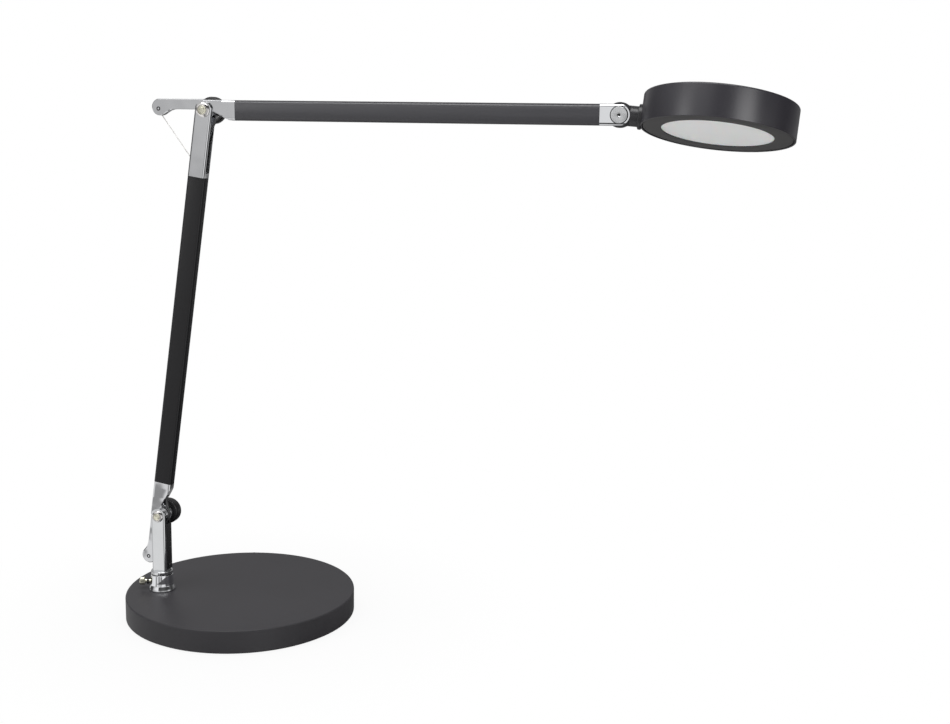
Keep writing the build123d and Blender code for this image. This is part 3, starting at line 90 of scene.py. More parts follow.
# ---- places shared with the solids
# Turns that lay an upright spindle along a frame's X and along its Y.
OUTWARD = Matrix.Rotation(math.pi / 2, 4, "Y")
ACROSS = Matrix.Rotation(-math.pi / 2, 4, "X")
SWIVEL_ANGLE = math.radians(196.7)
SWIVEL_REACH = mm(80.0)
SWIVEL = Matrix.Translation((SWIVEL_REACH * math.cos(SWIVEL_ANGLE),
                             SWIVEL_REACH * math.sin(SWIVEL_ANGLE), 0.0))
LOWER_LEAN = math.radians(8.07)
UPPER_RISE = math.radians(0.26)
HEAD_PITCH = math.radians(4.4)
HEAD_ROLL = math.radians(12.4)
THUMB_HEIGHT = 31.8
PIVOT_HEIGHT = 101.6
LOWER_LENGTH = 406.8
UPPER_LENGTH = 392.7
LOWER_PIN = (-44.8, 6.4)
UPPER_PIN = (-47.0, 0.9)
LOWER_ANCHOR = (-3.0, -54.3)
UPPER_ANCHOR = (-56.5, 0.0)
PIVOT_FRAME = SWIVEL @ Matrix.Translation((0.0, 0.0, mm(PIVOT_HEIGHT)))
LOWER_FRAME = PIVOT_FRAME @ Matrix.Rotation(LOWER_LEAN - math.pi / 2, 4, "Y")
ELBOW_FRAME = LOWER_FRAME @ Matrix.Translation((mm(LOWER_LENGTH), 0.0, 0.0))
UPPER_FRAME = Matrix.Translation(ELBOW_FRAME.translation) @ Matrix.Rotation(-UPPER_RISE, 4, "Y")
HEAD_JOINT = UPPER_FRAME @ Matrix.Translation((mm(UPPER_LENGTH), 0.0, 0.0))
KNUCKLE_FRAME = Matrix.Translation(HEAD_JOINT.translation) @ Matrix.Rotation(HEAD_PITCH, 4, "Y")
HEAD_FRAME = KNUCKLE_FRAME @ Matrix.Rotation(-HEAD_ROLL, 4, "X")
THUMB_FRAME = SWIVEL @ Matrix.Rotation(SWIVEL_ANGLE, 4, "Z") @ Matrix.Translation((0.0, 0.0, mm(THUMB_HEIGHT)))


# ---- shader nodes
class Wiring:
    """Adds and links the nodes of one tree."""

    def __init__(self, tree: bpy.types.NodeTree) -> None:
        """Keeps the tree."""
        self.tree = tree

    def feed(self, node: bpy.types.Node, values: Feed) -> None:
        """Fills a node's sockets.

        Args:
            node: The node.
            values: Sockets by name or number, each with its constant, with the socket that feeds it or with
                nothing, which leaves it as it is.
        """
        for key, value in values.items():
            if isinstance(value, Socket):
                self.tree.links.new(value, node.inputs[key])
            elif value is not None:
                node.inputs[key].default_value = value

    def add(self, kind: str, values: Feed, **options: Any) -> bpy.types.NodeOutputs:
        """Adds a node.

        Args:
            kind: The node's type without its leading ShaderNode.
            values: Its sockets, as feed takes them.
            options: Its own options.

        Returns:
            The node's outputs.
        """
        node = self.tree.nodes.new(f"ShaderNode{kind}")
        for option, value in options.items():
            setattr(node, option, value)
        self.feed(node, values)
        return node.outputs

    def number(self, operation: str, *values: Socket | float) -> Socket:
        """Works out a number from sockets and constants."""
        return self.add("Math", dict(enumerate(values)), operation=operation)[0]


class Texture(Enum):
    """What breaks up a finish."""

    GRAIN = "fine_grain"
    BRUSHING = "brushed_lines"
    RINGS = "turned_rings"


class Effects:
    """Node groups that several finishes share; each is built once."""

    def __init__(self) -> None:
        """Builds the grain of paint or plastic, the lines of brushing and the rings of a lathe."""
        self.groups = {
            Texture.GRAIN: self._group(Texture.GRAIN, (900.0, 0.4, 0.05), "TexNoise", {"Detail": 3.0},
                                       cloud={"Scale": 22.0, "Detail": 4.0}),
            Texture.BRUSHING: self._group(Texture.BRUSHING, (400.0, 0.25, 0.08), "TexNoise",
                                          {"Detail": 5.0, "Roughness": 0.65}),
            Texture.RINGS: self._group(Texture.RINGS, (900.0, 0.2, 0.08), "TexWave",
                                       {"Distortion": 0.6, "Detail": 2.0}, wave_type="RINGS",
                                       rings_direction="Y"),
        }

    @staticmethod
    def _group(texture: Texture, numbers: Triple, kind: str, values: Feed, cloud: Feed | None = None,
               **options: str) -> bpy.types.NodeTree:
        """Builds a group that gives a roughness, a height and clouds.

        Args:
            texture: What the group is for.
            numbers: Its scale, its middle roughness and the roughness's swing, until a finish sets them.
            kind: Type of the fine texture's node.
            values: The fine texture's sockets.
            cloud: Sockets of the slow noise that gives the clouds, or nothing where the fine texture does.
            options: The fine texture's own options.

        Returns:
            The group.
        """
        tree = bpy.data.node_groups.new(texture.value, "ShaderNodeTree")
        tree.interface.new_socket("Vector", in_out="INPUT", socket_type="NodeSocketVector")
        for label, value in zip(("Scale", "Roughness", "Spread"), numbers):
            socket = tree.interface.new_socket(label, in_out="INPUT", socket_type="NodeSocketFloat")
            socket.default_value = value
        for label in ("Roughness", "Height", "Cloud"):
            tree.interface.new_socket(label, in_out="OUTPUT", socket_type="NodeSocketFloat")
        wiring = Wiring(tree)
        entry = tree.nodes.new("NodeGroupInput").outputs
        fine = {"Vector": entry["Vector"], "Scale": entry["Scale"]} | values
        height = wiring.add(kind, fine, **options)["Fac"]
        slow = wiring.add("TexNoise", {"Vector": entry["Vector"]} | cloud)["Fac"] if cloud else height
        centred = wiring.number("MULTIPLY_ADD", slow, 2.0, -1.0)
        swung = wiring.add("Math", {0: centred, 1: entry["Spread"], 2: entry["Roughness"]},
                           operation="MULTIPLY_ADD", use_clamp=True)[0]
        wiring.feed(tree.nodes.new("NodeGroupOutput"), {"Roughness": swung, "Height": height, "Cloud": slow})
        return tree


@dataclass(frozen=True)
class Finish:
    """A surface finish.

    Attributes:
        name: The material's name.
        colour: The middle colour, linear.
        shade: How much darker and lighter the colour gets in the clouds, from 0 to 1.
        metallic: 1 for bare metal.
        roughness: The middle roughness.
        spread: How far the roughness swings.
        scale: The fine texture's scale.
        relief: Depth of the fine texture in micrometres.
        texture: The shared effect.
        stretch: How the texture is stretched along the three axes.
        centre: The point that the pattern is centred on.
        turn: Turn of the pattern about Y.
        coat: Weight of a clear coat.
        anisotropy: Stretch of the highlight.
        specular: Level of the dielectric reflection.
        crown: Slope that the surface seems to reach at CROWN_REACH from its middle line.
        spun: Whether the highlight runs round the centre about Y.
        waves: Depth in micrometres of the slow unevenness that hand polishing leaves.
        subsurface: Weight of the light that passes through.
    """

    name: str
    colour: Triple
    shade: float = 0.1
    metallic: float = 0.0
    roughness: float = 0.4
    spread: float = 0.05
    scale: float = 900.0
    relief: float = 10.0
    texture: Texture = Texture.GRAIN
    stretch: Triple = (1.0, 1.0, 1.0)
    centre: Triple = (0.0, 0.0, 0.0)
    turn: float = 0.0
    coat: float = 0.0
    anisotropy: float = 0.0
    specular: float = 0.5
    crown: float = 0.0
    spun: bool = False
    waves: float = 0.0
    subsurface: float = 0.0

    def build(self, effects: Effects) -> bpy.types.Material:
        """Builds the material.

        Args:
            effects: The shared node groups.

        Returns:
            The new material.
        """
        material = bpy.data.materials.new(self.name)
        material.use_nodes = True
        material.diffuse_color = (*self.colour, 1.0)
        wiring = Wiring(material.node_tree)
        place = wiring.add("TexCoord", {})["Object"]
        pattern = wiring.add("Mapping", {
            "Vector": place, "Location": self.centre, "Rotation": (0.0, self.turn, 0.0), "Scale": self.stretch,
        }, vector_type="TEXTURE")["Vector"]
        group = wiring.add("Group", {"Vector": pattern, "Scale": self.scale, "Roughness": self.roughness,
                                     "Spread": self.spread}, node_tree=effects.groups[self.texture])
        ramp = wiring.add("ValToRGB", {"Fac": group["Cloud"]})["Color"]
        levels = (1.0 - self.shade, 1.0 + self.shade)
        for element, position, level in zip(ramp.node.color_ramp.elements, (0.3, 0.7), levels):
            element.position = position
            element.color = (*(min(1.0, channel * level) for channel in self.colour), 1.0)
        under = self._crown(wiring, place) if self.crown else None
        under = self._waves(wiring, place, under) if self.waves else under
        wiring.feed(material.node_tree.nodes["Principled BSDF"], {
            "Base Color": ramp, "Roughness": group["Roughness"],
            "Normal": self._bump(wiring, group["Height"], self.relief * MICRON, under),
            "Metallic": self.metallic, "Coat Weight": self.coat, "Coat Roughness": COAT_ROUGHNESS,
            "Anisotropic": self.anisotropy, "Specular IOR Level": self.specular,
            "Subsurface Weight": self.subsurface, "Subsurface Scale": SUBSURFACE_SCALE,
            "Tangent": self._tangent(wiring, pattern) if self.spun else None})
        return material

    @staticmethod
    def _bump(wiring: Wiring, height: Socket, depth: float, under: Socket | None = None) -> Socket:
        """Gives the normal of a relief of a depth in metres, laid on another normal or on the surface."""
        values = {"Strength": 1.0, "Distance": depth, "Height": height, "Normal": under}
        return wiring.add("Bump", values)["Normal"]

    def _crown(self, wiring: Wiring, place: Socket) -> Socket:
        """Gives a flat piece a barely crowned look about its middle line.

        Args:
            wiring: The material's wiring.
            place: The object coordinates.

        Returns:
            The crowned normal.
        """
        along = wiring.add("Mapping", {"Vector": place, "Location": self.centre,
                                       "Rotation": (0.0, self.turn, 0.0)}, vector_type="TEXTURE")["Vector"]
        across = wiring.add("SeparateXYZ", {0: along})["Z"]
        square = wiring.number("MULTIPLY", across, across)
        return self._bump(wiring, wiring.number("MULTIPLY", square, -self.crown / (2.0 * CROWN_REACH)), 1.0)

    def _waves(self, wiring: Wiring, place: Socket, under: Socket | None) -> Socket:
        """Makes what the metal mirrors a little wavy, on top of another normal or of the surface's own."""
        slow = wiring.add("TexNoise", {"Vector": place, "Scale": WAVE_SCALE, "Detail": 1.0})["Fac"]
        return self._bump(wiring, slow, self.waves * MICRON, under)

    @staticmethod
    def _tangent(wiring: Wiring, pattern: Socket) -> Socket:
        """Lays the highlight's direction round the centre of the pattern's coordinates."""
        cross = wiring.add("VectorMath", {0: pattern, 1: (0.0, 1.0, 0.0)}, operation="CROSS_PRODUCT")[0]
        return wiring.add("VectorMath", {0: cross}, operation="NORMALIZE")[0]


class Finishes:
    """The lamp's finishes by plain names."""

    def __init__(self) -> None:
        """Builds every finish once."""
        effects = Effects()
        joint = tuple(HEAD_JOINT.translation)
        elbow = tuple(ELBOW_FRAME.translation)
        pivot = tuple(PIVOT_FRAME.translation)
        lean = math.pi / 2 - LOWER_LEAN
        cast = (0.68, 0.685, 0.7)
        tube = {"scale": 500.0, "relief": 3.0, "texture": Texture.BRUSHING, "stretch": (30.0, 1.0, 1.0)}
        table = {
            "cover": Finish("anthracite_cover", (0.0375, 0.0361, 0.04), 0.06, 0.0, 0.44, 0.04, 1500.0,
                            6.0, specular=0.27),
            "weight": Finish("cast_weight", (0.06, 0.06, 0.06), 0.3, 0.2, 0.7, 0.1, 400.0, 50.0),
            "foam": Finish("foam_pad", (0.02, 0.02, 0.021), 0.2, 0.0, 0.9, 0.05, 1200.0, 50.0),
            "upper_casting": Finish("polished_upper_casting", cast, 0.04, 1.0, 0.1, 0.02, 700.0, 0.4,
                                    waves=400.0),
            "lower_casting": Finish("polished_lower_casting", cast, 0.04, 1.0, 0.06, 0.02, 700.0, 0.4,
                                    waves=900.0, crown=0.11, centre=pivot, turn=-lean),
            "fork": Finish("polished_fork", cast, 0.04, 1.0, 0.1, 0.02, 700.0, 0.4, waves=200.0),
            "cheek": Finish("polished_post", (0.7, 0.71, 0.72), 0.04, 1.0, 0.08, 0.02, 700.0, 0.3,
                            waves=400.0),
            "mirror": Finish("bright_chrome", (0.82, 0.83, 0.85), 0.04, 1.0, 0.03, 0.01, 700.0, 0.3,
                             waves=200.0),
            "cap_ring": Finish("bright_cap", (0.76, 0.74, 0.73), 0.04, 1.0, 0.1, 0.02, 900.0, 2.0),
            "spun": Finish("spun_disc", (0.74, 0.75, 0.76), 0.05, 1.0, 0.24, 0.05, 1400.0, 2.0,
                           Texture.RINGS, centre=joint, anisotropy=0.85, spun=True),
            "nickel": Finish("pale_nickel", (0.8, 0.78, 0.64), 0.05, 1.0, 0.18, 0.03, 900.0, 2.0),
            "steel": Finish("plain_steel", (0.42, 0.42, 0.43), 0.1, 1.0, 0.3, 0.06, 1200.0, 3.0),
            "wire": Finish("spring_wire", (0.62, 0.61, 0.59), 0.05, 0.3, 0.6, 0.05, 1500.0, 2.0),
            # The two tubes share one anodised finish. The upper tube's colour is lighter as painted light and
            # the lower tube's darker as painted shade, for how each is lit.
            "upper_tube": Finish("anodised_tube_painted_light", (0.031, 0.0304, 0.0352), 0.06, 0.0, 0.33, 0.03,
                                 crown=0.45, centre=elbow, specular=0.65, **tube),
            "lower_tube": Finish("anodised_tube_painted_shade", (0.007, 0.0068, 0.0078), 0.06, 0.0, 0.36, 0.03,
                                 crown=0.1, centre=elbow, turn=-lean, specular=0.32, **tube),
            "knob": Finish("black_knob", (0.006, 0.006, 0.0065), 0.15, 0.0, 0.36, 0.05, 1600.0, 10.0,
                           specular=0.4),
            "strip": Finish("black_strip", (0.007, 0.007, 0.0078), 0.15, 0.0, 0.22, 0.05, 900.0, 5.0),
            "knuckle": Finish("black_knuckle", (0.023, 0.023, 0.025), 0.1, 0.0, 0.32, 0.05, 1500.0, 6.0),
            "rubber": Finish("lead_rubber", (0.008, 0.008, 0.009), 0.15, 0.0, 0.2, 0.05, 1500.0, 0.8,
                             coat=0.6, specular=0.9),
            "head": Finish("satin_head", (0.0175, 0.0162, 0.0212), 0.05, 0.0, 0.34, 0.02, 1500.0, 4.0,
                           specular=0.62),
            "bezel": Finish("satin_bezel", (0.038, 0.0365, 0.037), 0.06, 0.0, 0.42, 0.04, 1500.0, 6.0,
                            specular=0.4),
            "opal": Finish("opal_window", (0.84, 0.845, 0.835), 0.012, 0.0, 0.38, 0.03, 60.0, 2.0,
                           subsurface=0.2),
            "plate": Finish("bare_plate", (0.6, 0.6, 0.61), 0.06, 1.0, 0.3, 0.06, 500.0, 3.0),
            "board": Finish("white_board", (0.7, 0.71, 0.69), 0.03, 0.0, 0.4, 0.03, 900.0, 3.0),
            "chip": Finish("diode", (0.75, 0.62, 0.2), 0.05, 0.0, 0.3, 0.03, 900.0, 3.0),
            "washer": Finish("nylon_washer", (0.03, 0.03, 0.03), 0.1, 0.0, 0.45, 0.05, 900.0, 5.0),
        }
        self.made = {key: finish.build(effects) for key, finish in table.items()}

    def __getitem__(self, key: str) -> bpy.types.Material:
        """Gives a finish's material by its key."""
        return self.made[key]


# ---- workshop
class Workshop:
    """Makes, dresses and seats the pieces."""

    def __init__(self, finishes: Finishes) -> None:
        """Keeps the finishes.

        Args:
            finishes: The lamp's finishes.
        """
        self.finishes = finishes
        self.count = 0
        self.shaded: list[bpy.types.Object] = []

    @staticmethod
    def rounded(corners: list[Triple], steps: int = 6) -> Profile:
        """Rounds the corners of an outline.

        Args:
            corners: Points with the radius of each corner, in millimetres.
            steps: Pieces of each rounded corner.

        Returns:
            The outline's points.
        """
        outline: Profile = []
        last = len(corners) - 1
        for index, (x, z, radius) in enumerate(corners):
            if radius <= 0.0 or index in (0, last):
                outline.append((x, z))
                continue
            here = Vector((x, z))
            back = (Vector(corners[index - 1][:2]) - here).normalized()
            ahead = (Vector(corners[index + 1][:2]) - here).normalized()
            half = back.angle(ahead) / 2
            reach = radius / math.tan(half)
            centre = here + (back + ahead).normalized() * (radius / math.sin(half))
            start = here + back * reach - centre
            stop = here + ahead * reach - centre
            sweep = math.atan2(start.x * stop.y - start.y * stop.x, start.dot(stop))
            for step in range(steps + 1):
                point = centre + Matrix.Rotation(sweep * step / steps, 2) @ start
                outline.append((point.x, point.y))
        return outline

    @staticmethod
    def lathe(profile: Profile, spindle: Matrix, segments: int = 96) -> bmesh.types.BMesh:
        """Turns a profile about a frame's Z axis.

        Args:
            profile: Points as (radius, height along the axis) in millimetres.
            spindle: Frame whose Z axis it turns about.
            segments: Number of steps round.

        Returns:
            The turned mesh.
        """
        shape = bmesh.new()
        points = [shape.verts.new((mm(radius), 0.0, mm(height))) for radius, height in profile]
        edges = [shape.edges.new(pair) for pair in zip(points, points[1:])]
        bmesh.ops.spin(shape, geom=points + edges, cent=(0, 0, 0), axis=(0, 0, 1), angle=math.tau,
                       steps=segments, use_merge=True)
        bmesh.ops.remove_doubles(shape, verts=shape.verts, dist=TURNED_WELD)
        bmesh.ops.transform(shape, matrix=spindle, verts=shape.verts)
        bmesh.ops.recalc_face_normals(shape, faces=shape.faces)
        return shape

    @staticmethod
    def merged(node: str) -> bmesh.types.BMesh:
        """Copies a node's mesh with its triangles joined.

        Args:
            node: The node's name.

        Returns:
            The joined mesh.
        """
        shape = bmesh.new()
        shape.from_mesh(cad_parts[node].data)
        bmesh.ops.remove_doubles(shape, verts=shape.verts, dist=NODE_WELD)
        bmesh.ops.dissolve_degenerate(shape, dist=NODE_SLIVER, edges=shape.edges)
        bmesh.ops.dissolve_limit(shape, angle_limit=FLAT_ANGLE, verts=shape.verts, edges=shape.edges)
        return shape

    def stand(self, mesh: bpy.types.Mesh, name: str, finish: str) -> bpy.types.Object:
        """Stands a mesh in the scene, smooth and with its finish.

        Args:
            mesh: The mesh.
            name: The piece's name.
            finish: Key of its finish.

        Returns:
            The piece, not yet on a body.
        """
        piece = bpy.data.objects.new(name, mesh)
        bpy.context.scene.collection.objects.link(piece)
        mesh.materials.append(self.finishes[finish])
        mesh.shade_smooth()
        self.count += 1
        return piece

    def finish(self, shape: bmesh.types.BMesh, name: str, finish: str, body: str, nodes: tuple[str, ...] = (),
               bevel: float = 0.0, sharp: float = 32.0) -> bpy.types.Object:
        """Turns a mesh into a dressed piece on its body.

        Args:
            shape: The mesh, which is used up.
            name: The piece's name.
            finish: Key of its finish.
            body: The body that it rides on, or nothing for a piece that rides on no body.
            nodes: Nodes that it stands for.
            bevel: Width of the bevel on sharp edges in millimetres.
            sharp: Angle in degrees from which an edge stays sharp.

        Returns:
            The piece.
        """
        mesh = bpy.data.meshes.new(name)
        shape.to_mesh(mesh)
        shape.free()
        piece = self.stand(mesh, name, finish)
        mesh.set_sharp_from_angle(angle=math.radians(sharp))
        if bevel:
            edge = piece.modifiers.new("soft_edges", "BEVEL")
            edge.width = mm(bevel)
            edge.segments = 3 if bevel > WIDE_BEVEL else 2
            edge.limit_method = "ANGLE"
            edge.angle_limit = math.radians(sharp)
            even = piece.modifiers.new("even_normals", "WEIGHTED_NORMAL")
            even.keep_sharp = True
            even.weight = 100
        if body:
            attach(piece, body)
        if nodes:
            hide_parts(*nodes)
        if finish in SHADED:
            self.shaded.append(piece)
        LOG.info("piece %s on %s", name, body or "two bodies")
        return piece

    def turned(self, name: str, finish: str, body: str, corners: list[Triple], spindle: Matrix,
               segments: int = 96, steps: int = 6, nodes: tuple[str, ...] = ()) -> None:
        """Makes a turned piece of corners as rounded takes them, on a spindle as lathe takes it."""
        shape = self.lathe(self.rounded(corners, steps), spindle, segments)
        self.finish(shape, name, finish, body, nodes)

    def dress(self, body: str, looks: dict[str, tuple[str, float]]) -> None:
        """Gives nodes of one body, as their own shapes, a finish and bevels of a width in millimetres."""
        for node, (finish, bevel) in looks.items():
            self.finish(self.merged(node), f"{node}_dressed", finish, body, (node,), bevel)

    def paint(self, looks: dict[str, str]) -> None:
        """Gives nodes that stay as they are their finishes.

        Args:
            looks: The nodes' names, each with the key of its finish.
        """
        for node, finish in looks.items():
            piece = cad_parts[node]
            if not piece.material_slots:
                piece.data.materials.append(self.finishes[finish])
            for slot in piece.material_slots:
                slot.material = self.finishes[finish]
            LOG.info("node %s painted %s", node, finish)

    def cable(self, name: str, points: list[Vector], radius: float, finish: str) -> bpy.types.Object:
        """Makes a round lead as a mesh along a smooth line.

        Args:
            name: The piece's name.
            points: Control points in metres.
            radius: Radius in millimetres.
            finish: Key of its finish.

        Returns:
            The piece, not yet on a body.
        """
        curve = bpy.data.curves.new(name, "CURVE")
        curve.dimensions = "3D"
        curve.bevel_depth = mm(radius)
        curve.bevel_resolution = 5
        curve.resolution_u = 12
        curve.use_fill_caps = True
        spline = curve.splines.new("NURBS")
        spline.points.add(len(points) - 1)
        for point, place in zip(spline.points, points):
            point.co = (*place, 1.0)
        spline.order_u = 3
        spline.use_endpoint_u = True
        loose = bpy.data.objects.new(f"{name}_line", curve)
        bpy.context.scene.collection.objects.link(loose)
        bpy.context.view_layer.update()
        mesh = bpy.data.meshes.new_from_object(loose.evaluated_get(bpy.context.evaluated_depsgraph_get()))
        bpy.data.objects.remove(loose)
        mesh.name = name
        mesh.materials.clear()
        LOG.info("piece %s on two bodies", name)
        return self.stand(mesh, name, finish)


# ---- sub-assemblies
def pin_shade_ring_and_end(shop: Workshop, name: str, place: Matrix, at: Pair, body: str) -> None:
    """Turns a black ring of painted shade round a tail pin, and the pin's bright end, on the near face of a
    casting.

    Args:
        shop: The workshop.
        name: Start of the pieces' names.
        place: Frame of the arm.
        at: The pin's place along and across the arm in millimetres.
        body: The body that the pieces ride on.
    """
    here = place @ Matrix.Translation((mm(at[0]), 0.0, mm(at[1]))) @ ACROSS
    # Painted shade: a thin black ring laid on the casting's face round the pin, standing in for the shade of
    # the gap round it.
    ring = [(0.9, -3.55, 0), (0.9, -3.7, 0.05), (2.0, -3.7, 0.1), (2.0, -3.55, 0), (0.9, -3.55, 0)]
    shop.turned(f"{name}_pin_painted_shade_ring", "knob", body, ring, here, 40, 3)
    end = [(0.0, -3.7, 0), (0.7, -3.68, 0.1), (1.0, -3.6, 0), (1.0, -3.5, 0), (0.0, -3.5, 0)]
    shop.turned(f"{name}_pin_end", "mirror", body, end, here, 40, 3)


@dataclass
class Base:
    """Round weighted base with its socket, bush and thumbscrew."""

    shop: Workshop
    radius: float = 115.0
    height: float = 23.6
    wall: float = 1.5
    lip: float = 1.2
    edge: float = 1.8
    socket_height: float = 16.3
    grip: Pair = (17.9, 21.8)
    grip_radius: float = 3.9
    flutes: int = 12
    flute_depth: float = 0.05

    def build(self) -> None:
        """Builds the cover, the socket, the bush and the thumbscrew, and paints what lies inside."""
        self.cover()
        self.socket()
        self.thumbscrew()
        self.shop.paint({"base_weight": "weight", "base_pad": "foam", "base_screws": "steel",
                         "socket_nut": "steel", "lead_gland": "rubber", "base_lead": "rubber"})

    def cover(self) -> None:
        """Turns the pressed cover with its rolled top edge and lower lip."""
        inner = self.radius - self.wall
        roof = self.height - self.wall
        corners = [(0.0, self.height, 0), (self.radius, self.height, self.edge), (self.radius, self.lip, 0.5),
                   (inner, self.lip, 0.4), (inner, roof, 1.0), (0.0, roof, 0)]
        self.shop.turned("cover_shell", "cover", "base", corners, Matrix.Identity(4), segments=192, steps=8,
                         nodes=("base_cover",))

    def socket(self) -> None:
        """Turns the flared chrome socket and the bush's flange above it."""
        foot = self.height
        top = foot + self.socket_height
        bell = [(6.3, foot + 1.0, 0), (6.3, foot, 0), (13.3, foot, 0.3), (13.5, foot + 0.9, 0.6),
                (13.1, foot + 2.2, 0.8), (11.9, foot + 5.4, 4.0), (11.5, foot + 8.0, 2.0), (11.0, top, 0.5),
                (7.6, top, 0.2), (7.6, foot + 1.0, 0)]
        self.shop.turned("socket_bell", "mirror", "base", bell, SWIVEL, nodes=("socket",))
        rim = [(7.4, top - 6.0, 0), (7.4, top, 0), (10.5, top, 0.1), (10.5, top + 0.6, 0.15),
               (6.1, top + 0.6, 0), (6.1, top - 6.0, 0)]
        self.shop.turned("bush_flange", "knob", "base", rim, SWIVEL, steps=3, nodes=("swivel_bush",))

    def thumbscrew(self) -> None:
        """Turns the fluted thumbscrew and its dark collar."""
        corners = [(0.0, 6.3, 0), (1.6, 6.3, 0), (2.0, 6.8, 0), (2.0, 17.3, 0.3), (3.7, 17.3, 0.4),
                   (4.2, 18.0, 0.4), (4.2, 21.6, 0.4), (3.6, 22.3, 0.4), (0.0, 22.3, 0)]
        shape = self.shop.lathe(self.shop.rounded(corners, 4), THUMB_FRAME @ OUTWARD, 72)
        centre = THUMB_FRAME.inverted()
        low, high = (mm(end) for end in self.grip)
        for vertex in shape.verts:
            local = centre @ vertex.co
            if math.hypot(local.y, local.z) > mm(self.grip_radius) and low < local.x < high:
                wave = 0.5 + 0.5 * math.cos(self.flutes * math.atan2(local.z, local.y))
                dip = 1.0 - self.flute_depth * wave
                vertex.co = THUMB_FRAME @ Vector((local.x, local.y * dip, local.z * dip))
        self.shop.finish(shape, "thumbscrew_turned", "nickel", "thumbscrew", ("thumbscrew",), sharp=40)
        ring = [(2.0, 13.1, 0), (3.2, 13.1, 0.4), (3.2, 15.0, 0.4), (2.0, 15.0, 0)]
        self.shop.turned("thumbscrew_ring", "knob", "thumbscrew", ring, THUMB_FRAME @ OUTWARD, 48, 4,
                         ("thumbscrew_collar",))


@dataclass
class ClampJoint:
    """Domed cap, spacer and knob on one pivot."""

    shop: Workshop
    name: str
    spindle: Matrix
    body: str
    cap_radius: float
    face: float = 6.5

    def build(self) -> None:
        """Builds the cap, the spacer and the knob."""
        self.cap()
        self.spacer()
        self.knob()

    def cap(self) -> None:
        """Turns the bolt with its domed cap, and the pale button let into the cap."""
        near = -self.face
        rim = self.cap_radius
        groove = 0.62 * rim
        dome = [(0.0, near - 1.5, 0), (groove, near - 1.2, 0), (groove + 0.3, near - 1.95, 0.2),
                (0.86 * rim, near - 1.5, 2.0), (rim, near - 0.8, 0.5), (rim, near, 0.1), (2.5, near, 0),
                (2.5, self.face + 12.6, 0.3), (0.0, self.face + 12.6, 0)]
        self.shop.turned(f"{self.name}_cap", "cap_ring", self.body, dome, self.spindle, 64,
                         nodes=(f"{self.name}_pivot_bolt",))
        edge = groove - 0.35
        button = [(0.0, near - 2.4, 0), (0.3 * rim, near - 2.35, 0.8), (0.34 * rim, near - 2.15, 0.5),
                  (edge, near - 2.05, 0.25), (edge, near - 1.25, 0)]
        self.shop.turned(f"{self.name}_cap_button", "nickel", self.body, button, self.spindle, 64)

    def spacer(self) -> None:
        """Turns the bright spacer behind the far cheek."""
        corners = [(2.6, self.face, 0), (8.2, self.face, 0.2), (8.5, self.face + 0.5, 0.3),
                   (8.5, self.face + 3.4, 0.4), (7.7, self.face + 4.3, 0.4), (2.6, self.face + 4.3, 0)]
        self.shop.turned(f"{self.name}_boss", "mirror", self.body, corners, self.spindle, 72,
                         nodes=(f"{self.name}_spacer",))

    def knob(self) -> None:
        """Turns the knob with its soft rim and dished face."""
        start = self.face + 4.6
        knob = f"{self.name}_knob"
        corners = [(2.6, start, 0), (12.8, start, 2.4), (12.8, start + 11.0, 2.8), (9.4, start + 11.0, 1.5),
                   (7.6, start + 10.1, 4.0), (0.0, start + 9.9, 0)]
        self.shop.turned(f"{knob}_disc", "knob", knob, corners, self.spindle, steps=8, nodes=(knob,))


@dataclass
class Post:
    """Post with its strip and screw, and the lower pivot's clamp."""

    shop: Workshop

    def build(self) -> None:
        """Dresses the post's pieces."""
        self.shop.dress("post", {"post": ("cheek", 0.3), "post_cover": ("strip", 0.15),
                                 "cover_screw": ("strip", 0.1)})
        self.shop.paint({"post_ring": "steel", "lower_anchor_pin": "steel", "post_lead": "rubber"})
        ClampJoint(self.shop, "lower", PIVOT_FRAME @ ACROSS, "post", 5.8).build()


@dataclass
class LowerArm:
    """Lower tube, its casting and the elbow fork, and the elbow's clamp."""

    shop: Workshop

    def build(self) -> None:
        """Dresses the lower arm's pieces."""
        self.shop.dress("lower_arm", {"lower_casting": ("lower_casting", 0.5),
                                      "lower_tube": ("lower_tube", 0.15), "elbow_fork": ("fork", 0.3)})
        self.shop.paint({"lower_washers": "washer", "lower_tail_pin": "steel", "lower_spring": "wire",
                         "lower_spring_pin": "steel", "elbow_anchor_pin": "steel",
                         "lower_tube_lead": "rubber"})
        pin_shade_ring_and_end(self.shop, "lower_tail", LOWER_FRAME, LOWER_PIN, "lower_arm")
        ClampJoint(self.shop, "elbow", ELBOW_FRAME @ ACROSS, "lower_arm", 7.0).build()


